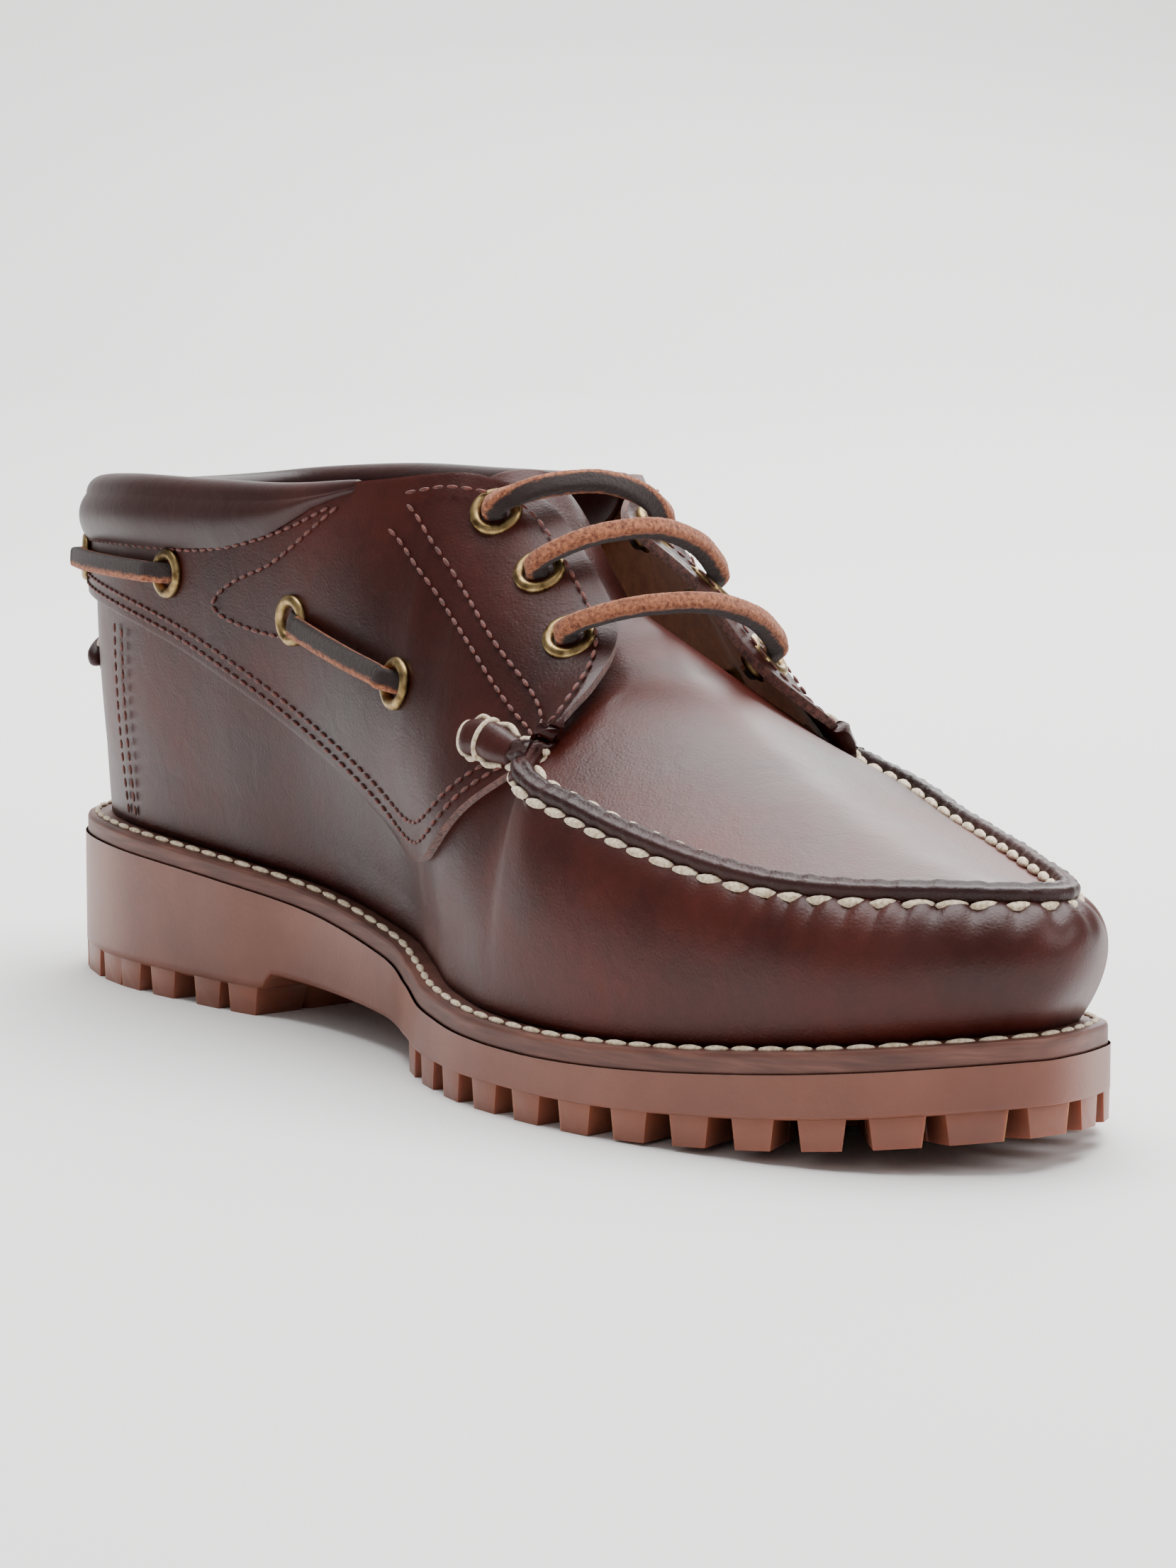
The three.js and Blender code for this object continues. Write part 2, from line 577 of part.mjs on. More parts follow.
function tongue() {
  const columns = 8;
  const curve = (key) => new THREE.CatmullRomCurve3(
    TONGUE_SECTIONS.map((s) => new THREE.Vector3(s.x, s[key[0]], s[key[1]])));
  const middles = curve(['middle', 'z']);
  const shapes = curve(['half', 'drop']);
  const steps = 14;
  const top = Array.from({ length: steps + 1 }, (_, i) => {
    const centre = middles.getPoint(i / steps);
    const shape = shapes.getPoint(i / steps);
    return Array.from({ length: columns + 1 }, (_, j) => {
      const angle = (j / columns - 0.5) * Math.PI * 0.94;
      return new THREE.Vector3(centre.x, centre.y - shape.y * Math.sin(angle),
        centre.z - shape.z * (1 - Math.cos(angle)));
    });
  });
  const ahead = new THREE.Vector3(0.62, 0, 0.78);
  const lower = top.map((row, i) => row.map((p, j) => {
    const angle = (j / columns - 0.5) * Math.PI * 0.94;
    const inward = new THREE.Vector3(-ahead.x * Math.cos(angle), Math.sin(angle), -ahead.z * Math.cos(angle));
    const taper = i === 0 ? 0.8 : 1;
    return p.clone().addScaledVector(inward.normalize(), TONGUE_THICKNESS * taper);
  }));
  return sheet(top, lower, false);
}

function insole() {
  const inset = WELT_LEDGE + LEATHER + 1.4;
  return plate(inset, (x) => midsoleTop(x) + GAP, (x) => midsoleTop(x) + GAP + INSOLE_THICKNESS);
}

function midsole() {
  return plate(MIDSOLE_INSET, (x) => midsoleTop(x) - MIDSOLE_THICKNESS + GAP, midsoleTop);
}

// ---------------------------------------------------------------- laces

const LACE_BARS = [
  { row: 'top', lift: 10, forward: 1 },
  { row: 'middle', lift: 10, forward: 4 },
  { row: 'bottom', lift: 10, forward: 6 },
];

// A bar of lace across the throat. It rises out of the inner eyelet, arches over and
// drops into the outer one; lift is the height of the arch above the eyelets.
function laceBar(from, to, lift, forward) {
  const up = from.normal.clone().add(to.normal).normalize();
  const start = from.point.clone().addScaledVector(from.normal, LACE_CLEARANCE);
  const end = to.point.clone().addScaledVector(to.normal, LACE_CLEARANCE);
  const route = [0, 0.08, 0.25, 0.5, 0.75, 0.92, 1].map((share) => {
    const height = lift * Math.sin(Math.PI * share) ** 0.7;
    const p = start.clone().lerp(end, share).addScaledVector(up, height);
    p.x += forward * Math.sin(Math.PI * share);
    return p;
  });
  return cord(route, LACE_WIDTH, LACE_THICKNESS, 14, 8);
}

// A run of lace along the side of the upper, from one side eyelet to the next.
function sideRun(from, to) {
  const steps = 6;
  const route = Array.from({ length: steps + 1 }, (_, i) => {
    const share = i / steps;
    const u = THREE.MathUtils.lerp(from.u, to.u, share);
    const v = THREE.MathUtils.lerp(from.v, to.v, share);
    return wall(u, v).addScaledVector(wallNormal(u, v), LACE_CLEARANCE);
  });
  return cord(route, LACE_WIDTH, LACE_THICKNESS, 10, 8);
}

// ---------------------------------------------------------------- the shoe

const shoe = new THREE.Group();

const colours = {
  gum: { color: 0xb4714f, roughness: 0.5, metalness: 0 },
  stackedLeather: { color: 0x4a2a22, roughness: 0.6, metalness: 0 },
  burgundy: { color: 0x5a2a22, roughness: 0.4, metalness: 0 },
  lining: { color: 0x9a7350, roughness: 0.7, metalness: 0 },
  rawhide: { color: 0xb5704f, roughness: 0.8, metalness: 0 },
  brass: { color: 0x9c7a45, roughness: 0.35, metalness: 1 },
};

function addMesh(name, manifold, finish) {
  const mesh = new THREE.Mesh(geometryOf(manifold), new THREE.MeshStandardMaterial(colours[finish]));
  mesh.name = name;
  shoe.add(mesh);
}

const places = eyeletPlaces();
const placeNamed = (name) => places.find((place) => place.name === `eyelet_${name}`);

addMesh('outsole', outsole(), 'gum');
addMesh('midsole', midsole(), 'stackedLeather');
addMesh('insole', insole(), 'lining');
addMesh('upper', upper(places), 'burgundy');
addMesh('tongue', tongue(), 'burgundy');
for (const place of places) addMesh(place.name, eyelet(place), 'brass');
for (const { row, lift, forward } of LACE_BARS) {
  const lace = laceBar(placeNamed(`inner_${row}`), placeNamed(`outer_${row}`), lift, forward);
  addMesh(`lace_bar_${row}`, lace, 'rawhide');
}
for (const side of ['inner', 'outer']) {
  for (const [name, from, to] of [['front', 'a', 'b'], ['rear', 'c', 'd']]) {
    const run = sideRun(placeNamed(`${side}_side_${from}`), placeNamed(`${side}_side_${to}`));
    addMesh(`lace_${side}_${name}`, run, 'rawhide');
  }
}

// The origin is on the ground, under the middle of the shoe.
const box = new THREE.Box3().setFromObject(shoe);
shoe.position.set(-(box.min.x + box.max.x) / 2, -(box.min.y + box.max.y) / 2, -box.min.z);

export default shoe;
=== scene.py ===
# %% [markdown]
# # A boat shoe
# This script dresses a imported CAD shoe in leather, rubber, brass and thread. Lengths are written
# in millimetres, as a shoemaker gives them, and turned to metres when a piece is laid down.

import math

import bpy
import numpy as np
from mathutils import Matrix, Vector


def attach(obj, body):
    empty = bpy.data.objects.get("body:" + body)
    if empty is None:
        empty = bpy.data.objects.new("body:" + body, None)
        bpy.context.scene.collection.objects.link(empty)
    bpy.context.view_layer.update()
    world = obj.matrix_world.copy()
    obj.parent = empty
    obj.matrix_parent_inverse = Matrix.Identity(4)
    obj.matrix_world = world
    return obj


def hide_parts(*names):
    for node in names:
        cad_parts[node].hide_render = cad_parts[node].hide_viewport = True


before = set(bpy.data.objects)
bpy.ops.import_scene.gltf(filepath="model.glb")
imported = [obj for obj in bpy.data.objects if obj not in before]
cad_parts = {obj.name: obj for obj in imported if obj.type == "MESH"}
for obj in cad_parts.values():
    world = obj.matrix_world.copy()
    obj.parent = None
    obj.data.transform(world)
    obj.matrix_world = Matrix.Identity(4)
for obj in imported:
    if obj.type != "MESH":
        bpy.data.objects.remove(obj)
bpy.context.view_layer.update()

# %% [markdown]
# ## Camera, floor and light
# The shoe stands with its toe towards us and to the right, seen from just above the floor. A long
# lens at about a metre keeps the toe from looking swollen. Big soft lamps give the wide, quiet
# highlights that waxed leather shows.

# %% Camera
camera_data = bpy.data.cameras.new("camera")
camera_data.lens = 113
camera_data.sensor_width = 36
camera = bpy.data.objects.new("camera", camera_data)
bpy.context.scene.collection.objects.link(camera)
camera.location = (0.780, -0.525, 0.164)
AIM = Vector((0.0145, -0.004, 0.052))
camera.rotation_euler = (AIM - camera.location).to_track_quat("-Z", "Y").to_euler()
bpy.context.scene.camera = camera
print("camera to shoe", round((AIM - camera.location).length, 3), "m")

# %% Floor and backdrop in one sheet of paper
SWEEP = ((-4.0, 0), (1.3, 0), (1.6, 0.06), (1.85, 0.25), (2.0, 0.6), (2.05, 1.1), (2.05, 4.0))
bpy.ops.object.select_all(action="DESELECT")
bpy.ops.mesh.primitive_grid_add(x_subdivisions=8, y_subdivisions=60, size=1)
floor = bpy.context.object
floor.name = "floor"
view = Vector((AIM.x - camera.location.x, AIM.y - camera.location.y, 0)).normalized()
bends = np.asarray(SWEEP, float)
for vertex in floor.data.vertices:
    place = (vertex.co.y + 0.5) * (len(SWEEP) - 1)
    back = float(np.interp(place, range(len(SWEEP)), bends[:, 0]))
    rise = float(np.interp(place, range(len(SWEEP)), bends[:, 1]))
    sideways = vertex.co.x * 9
    vertex.co = (view.x * back + view.y * sideways, view.y * back - view.x * sideways, rise)
bpy.ops.object.shade_smooth()
paper = bpy.data.materials.new("seamless_paper")
paper.use_nodes = True
paper_shader = paper.node_tree.nodes["Principled BSDF"]
paper_shader.inputs["Base Color"].default_value = (0.87, 0.868, 0.86, 1)
paper_shader.inputs["Roughness"].default_value = 0.9
paper_shader.inputs["Specular IOR Level"].default_value = 0.2
floor.data.materials.append(paper)

world = bpy.data.worlds.new("studio")
bpy.context.scene.world = world
world.use_nodes = True
world.node_tree.nodes["Background"].inputs["Color"].default_value = (0.95, 0.95, 0.95, 1)
world.node_tree.nodes["Background"].inputs["Strength"].default_value = 0.34


# %% Lamps
def soft_lamp(name, place, size, power, aim=(0, 0, 0.05)):
    data = bpy.data.lights.new(name, "AREA")
    data.size = size
    data.energy = power
    lamp = bpy.data.objects.new(name, data)
    bpy.context.scene.collection.objects.link(lamp)
    lamp.location = place
    turn = (Vector(aim) - Vector(place)).to_track_quat("-Z", "Y")
    lamp.rotation_euler = turn.to_euler()
    return lamp


soft_lamp("overhead", (-0.2, 0.35, 1.75), 1.8, 92)
soft_lamp("back_sheen", (-1.0, 1.1, 0.95), 0.9, 17)
soft_lamp("toe_side", (1.3, 0.9, 0.9), 0.8, 12)
soft_lamp("front_fill", (0.9, -1.5, 0.9), 1.0, 2)

# %% [markdown]
# ## The last
# A shoe is built over a last, the wooden foot. These are its sections from heel to toe: the sole
# edge on each side, and the rim, which is the collar, then the front edge of the eyelet flap, and
# then the moccasin seam. Every leather piece below is laid on the surface that they give.

# %% Sections, in millimetres from the heel
COLUMNS = ("x", "inner", "outer", "rim_x", "rim_inner", "rim_outer", "inner_z", "outer_z",
           "swell", "inner_roll", "outer_roll", "drop")
ROWS = (
    (4, -18, 19, 8.5, -15.5, 16.5, 101, 101, 2.5, 2.5, 2.5, 16),
    (18, -31, 31, 20, -27.5, 29, 102.5, 102.5, 3, 3, 3.5, 16),
    (45, -37.8, 37, 46, -34, 36, 104.5, 104.5, 4, 3, 3.5, 18),
    (80, -36, 39, 79, -34, 37, 105, 105, 6, 3, 3.5, 18),
    (110, -31.5, 42.3, 107, -32, 35.5, 106, 106, 8, 4, 4, 20),
    (140, -33.5, 45.2, 133, -27.5, 30, 108.5, 107.5, 8.5, 8, 8, 20),
    (158, -39.5, 48, 150, -18.5, 18.5, 110, 107, 7.5, 14, 14, 12),
    (172, -45.5, 50.5, 161.5, -10, 8.6, 105.2, 100.5, 6.5, 19, 18, 7),
    (182, -48.5, 52, 178, -10.6, 12, 94, 89.5, 6, 20, 18, 7),
    (192, -51, 52.4, 192, -14.2, 15.8, 81.5, 75, 5.5, 19, 16, 6),
    (200, -52, 52.4, 199.5, -27.5, 27, 70.5, 63.5, 5, 12, 9, 6),
    (208, -52.3, 51.8, 198.5, -40.3, 37, 60, 57, 4.5, 7, 4, 4),
    (223, -51.8, 49.6, 216, -41, 35.8, 55, 54, 4, 6.5, 2, 3),
    (242, -48.8, 45.4, 238, -38.5, 30.8, 50.2, 50, 4, 6.5, 2, 3),
    (262, -43, 37.4, 259, -33.6, 24.4, 46.7, 47.8, 4, 7, 3, 3),
    (280, -35.8, 28.8, 276, -26.6, 18, 45.9, 46.3, 6, 8, 7, 3),
    (294, -25, 17.4, 291, -14.6, 11.5, 46.2, 45, 7.5, 8.5, 9, 3),
)
SECTIONS = [dict(zip(COLUMNS, row)) for row in ROWS]
MIDSOLE_TOP = ((0, 33), (40, 32.5), (80, 30), (110, 26.5), (140, 22), (170, 18), (200, 16.2),
               (225, 16), (250, 17.2), (275, 19.5), (304, 23))
APRON_CROWN = ((178, 86.5), (187, 83), (195, 79), (205, 74.8), (218, 69.6), (230, 64.8),
               (242, 60), (262, 53.4), (280, 49), (298, 46))
TONGUE = ((206, -5, 67.5, 10, 5), (193, -4, 72.5, 12, 8), (181, -3, 79, 13, 12),
          (170, -3, 87, 13.5, 15), (160, -4, 97.5, 14, 16), (151, -5, 107.5, 13, 11),
          (148, -6, 110.8, 9, 3))
WELT_LEDGE = 5.6
MIDSOLE_THICKNESS = 4.1
LUG_DEPTH = 5.3
TOE_TIP = 304.8
SPAN = len(SECTIONS) + 1
RING = 2 * SPAN
SEAM_START = 12
SHIFT = np.array((-TOE_TIP / 2 - 0.34, -0.08, 0.0))
MM = 0.001


def metres(points):
    """Millimetres from the heel to metres from the middle of the shoe."""
    return (np.asarray(points, float) + SHIFT) * MM


print("ring of", RING, "sections")


# %% Smooth curves through the sections
def smooth(p0, p1, p2, p3, t):
    return p1 + 0.5 * t * (p2 - p0 + t * (2 * p0 - 5 * p1 + 4 * p2 - p3 + t * (3 * (p1 - p2) + p3 - p0)))


def closed_ring(heel, inner, toe, outer):
    sides = [[s[key] if isinstance(key, str) else key for key in inner] for s in SECTIONS]
    other = [[s[key] if isinstance(key, str) else key for key in outer] for s in SECTIONS]
    return np.array([heel, *sides, toe, *other[::-1]], float)


def on_ring(points, u):
    u = np.asarray(u, float) % RING
    i = np.floor(u).astype(int)
    t = (u - i)[..., None]
    return smooth(*(points[(i + k) % RING] for k in (-1, 0, 1, 2)), t)


def open_line(points, count=200):
    """Evenly stepped points of a smooth line through the given ones."""
    p = np.asarray(points, float)
    p = np.vstack([2 * p[0] - p[1], p, 2 * p[-1] - p[-2]])
    u = np.linspace(0, len(points) - 1, count)
    i = np.minimum(np.floor(u).astype(int), len(points) - 2)
    t = (u - i)[:, None]
    return smooth(p[i], p[i + 1], p[i + 2], p[i + 3], t)


def height_line(rows):
    samples = open_line(rows)
    return lambda x: np.interp(x, samples[:, 0], samples[:, 1])


midsole_top = height_line(MIDSOLE_TOP)
apron_crown = height_line(APRON_CROWN)
foot_ring = closed_ring((0, 0, 0), ("x", "inner", 0), (TOE_TIP, -4, 0), ("x", "outer", 0))
rim_ring = closed_ring((5, 0, 100.5), ("rim_x", "rim_inner", "inner_z"), (298.5, 1.2, 45.5),
                       ("rim_x", "rim_outer", "outer_z"))
bow_ring = closed_ring((2.5, 2, 16), ("swell", "inner_roll", "drop"), (8.5, 9.5, 3),
                       ("swell", "outer_roll", "drop"))
print("collar height at the heel", rim_ring[0][2], "mm")


# %% The surface of the last
def unit(v):
    return v / np.maximum(np.linalg.norm(v, axis=-1, keepdims=True), 1e-9)


def outward(u):
    along = unit(on_ring(foot_ring, np.asarray(u) + 0.02) - on_ring(foot_ring, np.asarray(u) - 0.02))
    return np.stack([along[..., 1], -along[..., 0], np.zeros_like(along[..., 0])], -1)


def edge(u, inset):
    return on_ring(foot_ring, u) - outward(u) * np.asarray(inset, float)[..., None]


def wall(u, v):
    """A point of the upper: u goes round the shoe from the heel, v up from the sole to the rim."""
    u, v = np.broadcast_arrays(np.asarray(u, float), np.asarray(v, float))
    out = outward(u)
    foot = edge(u, np.full(u.shape, WELT_LEDGE))
    foot[..., 2] = midsole_top(foot[..., 0]) + 0.35
    rim = on_ring(rim_ring, u)
    bow = on_ring(bow_ring, u)
    low = foot + out * bow[..., :1]
    low[..., 2] += 0.42 * (rim[..., 2] - foot[..., 2])
    high = rim + out * bow[..., 1:2]
    high[..., 2] -= bow[..., 2]
    w = v[..., None]
    return (1 - w) ** 3 * foot + 3 * w * (1 - w) ** 2 * low + 3 * w**2 * (1 - w) * high + w**3 * rim


def wall_normal(u, v):
    u, v = np.broadcast_arrays(np.asarray(u, float), np.asarray(v, float))
    around = wall(u + 0.05, v) - wall(u - 0.05, v)
    up = wall(u, np.minimum(v + 0.02, 1)) - wall(u, np.maximum(v - 0.02, 0))
    return unit(np.cross(around, up))


def proud(u, v, lift):
    """A point that stands proud of the last by lift."""
    return wall(u, v) + wall_normal(u, v) * np.asarray(lift, float)[..., None]


def below_rim(u, distance):
    """The height v at which the surface is a given distance below the rim."""
    steps = np.linspace(1, 0.4, 121)
    line = wall(np.full(steps.shape, float(u)), steps)
    run = np.concatenate([[0], np.cumsum(np.linalg.norm(np.diff(line, axis=0), axis=1))])
    return float(np.interp(distance, run, steps))


print("side of the last at the arch", np.round(wall(5, 0.5), 1))

# %% [markdown]
# ## Finishes
# Each material is named for what the real one is. A picture wrapped round the shoe could colour it,
# but it would blur close up, so every colour and every pore comes from noise that is worked out at
# each point. The colours are sRGB values read as linear light.


# %% Colour and node helpers
def linear(code):
    """An sRGB hex colour as linear red, green, blue and alpha."""
    parts = [int(code[i:i + 2], 16) / 255 for i in (1, 3, 5)]
    return (*[p / 12.92 if p <= 0.04045 else ((p + 0.055) / 1.055) ** 2.4 for p in parts], 1)


def finish(name, base, roughness, **sockets):
    material = bpy.data.materials.new(name)
    material.use_nodes = True
    shader = material.node_tree.nodes["Principled BSDF"]
    shader.inputs["Base Color"].default_value = linear(base)
    shader.inputs["Roughness"].default_value = roughness
    for socket, value in sockets.items():
        shader.inputs[socket.replace("_", " ")].default_value = value
    return material, shader


def add_node(material, kind, settings=(), links=()):
    """Adds a node, sets its sockets and properties, and links its sockets from others."""
    node = material.node_tree.nodes.new(kind)
    for key, value in dict(settings).items():
        if isinstance(key, int) or key in node.inputs:
            node.inputs[key].default_value = value
        else:
            setattr(node, key, value)
    for socket, source in dict(links).items():
        material.node_tree.links.new(source, node.inputs[socket])
    return node


def link(material, source, socket):
    material.node_tree.links.new(source, socket)


def ramp(material, source, stops):
    node = add_node(material, "ShaderNodeValToRGB", links={0: source})
    elements = node.color_ramp.elements
    while len(elements) < len(stops):
        elements.new(0.5)
    for element, (place, colour) in zip(elements, stops):
        element.position = place
        element.color = linear(colour)
    return node


def noise(material, scale, detail, **more):
    """A cloudy pattern from 0 to 1. The scale is in cells per metre of the piece."""
    place = add_node(material, "ShaderNodeTexCoord").outputs["Object"]
    node = add_node(material, "ShaderNodeTexNoise", {"Scale": scale, "Detail": detail, **more},
                    {"Vector": place})
    return node.outputs["Fac"]


def paint(material, shader, pattern, *stops):
    """Colours a finish by a pattern, through a ramp."""
    colours = ramp(material, pattern, stops)
    link(material, colours.outputs["Color"], shader.inputs["Base Color"])
    return colours


def roughen(material, shader, height, strength, distance):
    """Lets a pattern stand up from the surface by a distance in metres."""
    node = add_node(material, "ShaderNodeBump", {"Strength": strength, "Distance": distance},
                    {"Height": height})
    link(material, node.outputs["Normal"], shader.inputs["Normal"])


# %% [markdown]
# **Pull-up leather** is waxed cowhide. Where it is stretched the wax moves and the colour goes
# lighter, so broad soft patches of light and dark lie over a fine grain of pores.

# %% Burgundy pull-up leather
GRAIN = 1 / 0.0009        # grain cells of 0.9 mm, a little coarse so that they show
PATCH = 1 / 0.055         # patches of pulled-up wax, about 55 mm


def leather(name, dark, middle, light, roughness, grain=0.19, coat=0.06):
    material, shader = finish(name, middle, roughness, Coat_Weight=coat, Coat_Roughness=0.28,
                              Specular_IOR_Level=0.27)
    place = add_node(material, "ShaderNodeTexCoord").outputs["Object"]
    patches = noise(material, PATCH, 5.0, Roughness=0.6)
    colours = ramp(material, patches, ((0.3, dark), (0.5, middle), (0.74, light)))
    fine = noise(material, GRAIN / 3, 6.0)
    mix = add_node(material, "ShaderNodeMix", {"data_type": "RGBA", "blend_type": "OVERLAY",
                   "factor_mode": "UNIFORM"})
    mix.inputs[0].default_value = 0.22
    link(material, colours.outputs["Color"], mix.inputs[6])
    link(material, fine, mix.inputs[7])
    link(material, mix.outputs[2], shader.inputs["Base Color"])
    pores = add_node(material, "ShaderNodeTexVoronoi", {"Scale": GRAIN, "feature": "DISTANCE_TO_EDGE"},
                     {"Vector": place})
    creases = noise(material, 1 / 0.006, 4.0, Distortion=1.2)
    bump = add_node(material, "ShaderNodeBump", {"Strength": grain, "Distance": 0.0003},
                    {"Height": pores.outputs["Distance"]})
    soft = add_node(material, "ShaderNodeBump", {"Strength": 0.2, "Distance": 0.0006},
                    {"Height": creases, "Normal": bump.outputs["Normal"]})
    link(material, soft.outputs["Normal"], shader.inputs["Normal"])
    gloss = add_node(material, "ShaderNodeMapRange", {"From Min": 0.3, "From Max": 0.7,
                     "To Min": roughness - 0.06, "To Max": roughness + 0.1},
                     {"Value": patches})
    link(material, gloss.outputs["Result"], shader.inputs["Roughness"])
    return material


burgundy = leather("burgundy_pull_up_leather", "#200604", "#370f09", "#511a10", 0.41)
apron_leather = leather("pulled_up_apron_leather", "#2c0b07", "#46150d", "#602418", 0.40)
dark_leather = leather("burnished_ridge_leather", "#1d0c0a", "#2c1210", "#3d1c17", 0.46, 0.35, 0.0)
collar_leather = leather("smooth_collar_leather", "#1f0907", "#2c0f0c", "#3a1612", 0.40, 0.12)


# %% [markdown]
# **Cut leather** shows its fibres: paler, matt and furry. The **lining** is thin tan leather. The
# **lace** is a strip of rawhide, with a rough pinkish flesh side and one dark smooth side.

# %% Raw edges, lining and lace
def furry(name, dark, light, fibre_mm, bump_strength=0.9):
    material, shader = finish(name, light, 0.85, Sheen_Weight=0.35, Sheen_Roughness=0.5)
    fibres = noise(material, 1000 / fibre_mm, 8.0, Roughness=0.7)
    colours = paint(material, shader, fibres, (0.36, dark), (0.62, light))
    roughen(material, shader, fibres, bump_strength, 0.0006)
    return material, shader, colours


raw_edge = furry("raw_cut_leather_edge", "#3a1c18", "#875448", 1.0)[0]
lining = furry("tan_lining_leather", "#6f452c", "#8f6242", 3.0, 0.25)[0]
insole_leather = furry("smooth_insole_leather", "#8a5a38", "#a87850", 5.0, 0.15)[0]
rawhide, rawhide_shader, rawhide_colours = furry("rough_rawhide_lace", "#5e2a18", "#bd7650", 0.8)
rawhide_shader.inputs["Sheen Weight"].default_value = 0.12
around = add_node(rawhide, "ShaderNodeSeparateXYZ", links={
    0: add_node(rawhide, "ShaderNodeTexCoord").outputs["UV"]})
ragged = noise(rawhide, 500.0, 3.0)
wander = add_node(rawhide, "ShaderNodeMath", {"operation": "MULTIPLY_ADD", 1: 0.06},
                  {0: ragged, 2: around.outputs["X"]})
smooth_side = ramp(rawhide, wander.outputs[0], ((0.50, "#ffffff"), (0.53, "#000000")))
smooth_side.color_ramp.elements.new(0.80).color = (0, 0, 0, 1)
smooth_side.color_ramp.elements.new(0.83).color = (1, 1, 1, 1)
side_mix = add_node(rawhide, "ShaderNodeMix", {"data_type": "RGBA"})
side_mix.inputs[6].default_value = linear("#24110e")
link(rawhide, smooth_side.outputs["Color"], side_mix.inputs[0])
link(rawhide, rawhide_colours.outputs["Color"], side_mix.inputs[7])
link(rawhide, side_mix.outputs[2], rawhide_shader.inputs["Base Color"])
print("leathers", [m.name for m in bpy.data.materials])

# %% [markdown]
# **Gum rubber** is natural rubber with little pigment. Light goes a few millimetres into it and
# comes out orange, so it gets subsurface scattering and a satin moulded skin. The **midsole edge**
# is leather board, sanded and dyed. The **brass** is antiqued, and the **thread** is waxed linen.

# %% Rubber, board, brass and thread
gum, gum_shader = finish("gum_rubber", "#7c4836", 0.42, Subsurface_Weight=0.5,
                         Subsurface_Scale=0.004, Specular_IOR_Level=0.45)
gum_shader.inputs["Subsurface Radius"].default_value = (1.0, 0.42, 0.2)
paint(gum, gum_shader, noise(gum, 1 / 0.03, 4.0),
      (0.3, "#6a3a2a"), (0.55, "#7c4836"), (0.8, "#8d5947"))
roughen(gum, gum_shader, noise(gum, 1 / 0.0011, 2.0), 0.25, 0.0002)

# The lugs get a brighter, oranger copy of the gum. This is painted light: they are the same rubber as the
# body, coloured as if they caught more light.
tread_gum_painted_lighter = gum.copy()
tread_gum_painted_lighter.name = "gum_rubber_lugs_painted_light"
lug_painted_light_colours = next(n for n in tread_gum_painted_lighter.node_tree.nodes if n.type == "VALTORGB").color_ramp.elements
for element, colour in zip(lug_painted_light_colours, ("#72402f", "#874e3a", "#99614b")):
    element.color = linear(colour)

board, board_shader = finish("dyed_board_midsole", "#6e4438", 0.55)
board_place = add_node(board, "ShaderNodeTexCoord").outputs["Object"]
board_layers = add_node(board, "ShaderNodeMapping", {"Scale": (90.0, 90.0, 900.0)},
                        {"Vector": board_place})
board_fibre = add_node(board, "ShaderNodeTexNoise", {"Scale": 1.0, "Detail": 5.0},
                       {"Vector": board_layers.outputs["Vector"]})
paint(board, board_shader, board_fibre.outputs["Fac"],
      (0.3, "#4c2a22"), (0.55, "#623a2f"), (0.8, "#7a4e41"))
roughen(board, board_shader, board_fibre.outputs["Fac"], 0.3, 0.0003)

brass, brass_shader = finish("antique_brass", "#9a8052", 0.38, Metallic=1.0)
paint(brass, brass_shader, noise(brass, 1 / 0.0025, 5.0), (0.35, "#5a462a"), (0.6, "#a98f62"))


def thread(name, colour, shade):
    material, shader = finish(name, colour, 0.7, Sheen_Weight=0.2)
    twist = noise(material, 1 / 0.0007, 3.0)
    paint(material, shader, twist, (0.35, shade), (0.6, colour))
    roughen(material, shader, twist, 0.5, 0.0002)
    return material


cream_thread = thread("cream_linen_thread", "#e3d3b8", "#b49b7c")
red_thread = thread("red_brown_thread", "#6c3024", "#3d1a14")
print("finishes", len(bpy.data.materials))

# %% [markdown]
# ## Laying leather
# A leather panel starts as a flat grid, like a piece cut from a hide. Each of its points is laid on
# the last by its place in the grid, and a Solidify modifier gives it its real thickness, with a
# furry cut edge and a lining side. It could also be sculpted, but a sculpted upper has no seams to
# sew along, and the same grid coordinates place the stitches later.


# %% Grid, thickness and hand-over helpers
def pick(piece):
    """Makes one piece the only selected and active one, as operators act on what is selected."""
    bpy.ops.object.select_all(action="DESELECT")
    bpy.context.view_layer.objects.active = piece
    piece.select_set(True)


def new_piece(name, points, faces):
    """A piece made from points in millimetres and faces, picked and ready for operators."""
    mesh = bpy.data.meshes.new(name)
    mesh.from_pydata(metres(points).tolist(), [], faces)
    piece = bpy.data.objects.new(name, mesh)
    bpy.context.scene.collection.objects.link(piece)
    pick(piece)
    return piece


def cut_panel(name, along, across, lay):
    """A grid whose points are laid by lay(s, t), with s and t from 0 to 1, in millimetres."""
    bpy.ops.object.select_all(action="DESELECT")
    bpy.ops.mesh.primitive_grid_add(x_subdivisions=along, y_subdivisions=across, size=1)
    piece = bpy.context.object
    piece.name = name
    flat = np.empty(len(piece.data.vertices) * 3)
    piece.data.vertices.foreach_get("co", flat)
    flat = flat.reshape(-1, 3) + 0.5
    piece.data.vertices.foreach_set("co", metres(lay(flat[:, 0], flat[:, 1])).ravel())
    piece.data.update()
    bpy.ops.object.shade_smooth()
    return piece


def weld(piece, gap=0.02):
    """Joins the points of a panel that meet, such as at a closed ring."""
    pick(piece)
    bpy.ops.object.mode_set(mode="EDIT")
    bpy.ops.mesh.select_all(action="SELECT")
    bpy.ops.mesh.remove_doubles(threshold=gap * MM)
    bpy.ops.object.mode_set(mode="OBJECT")
    return piece


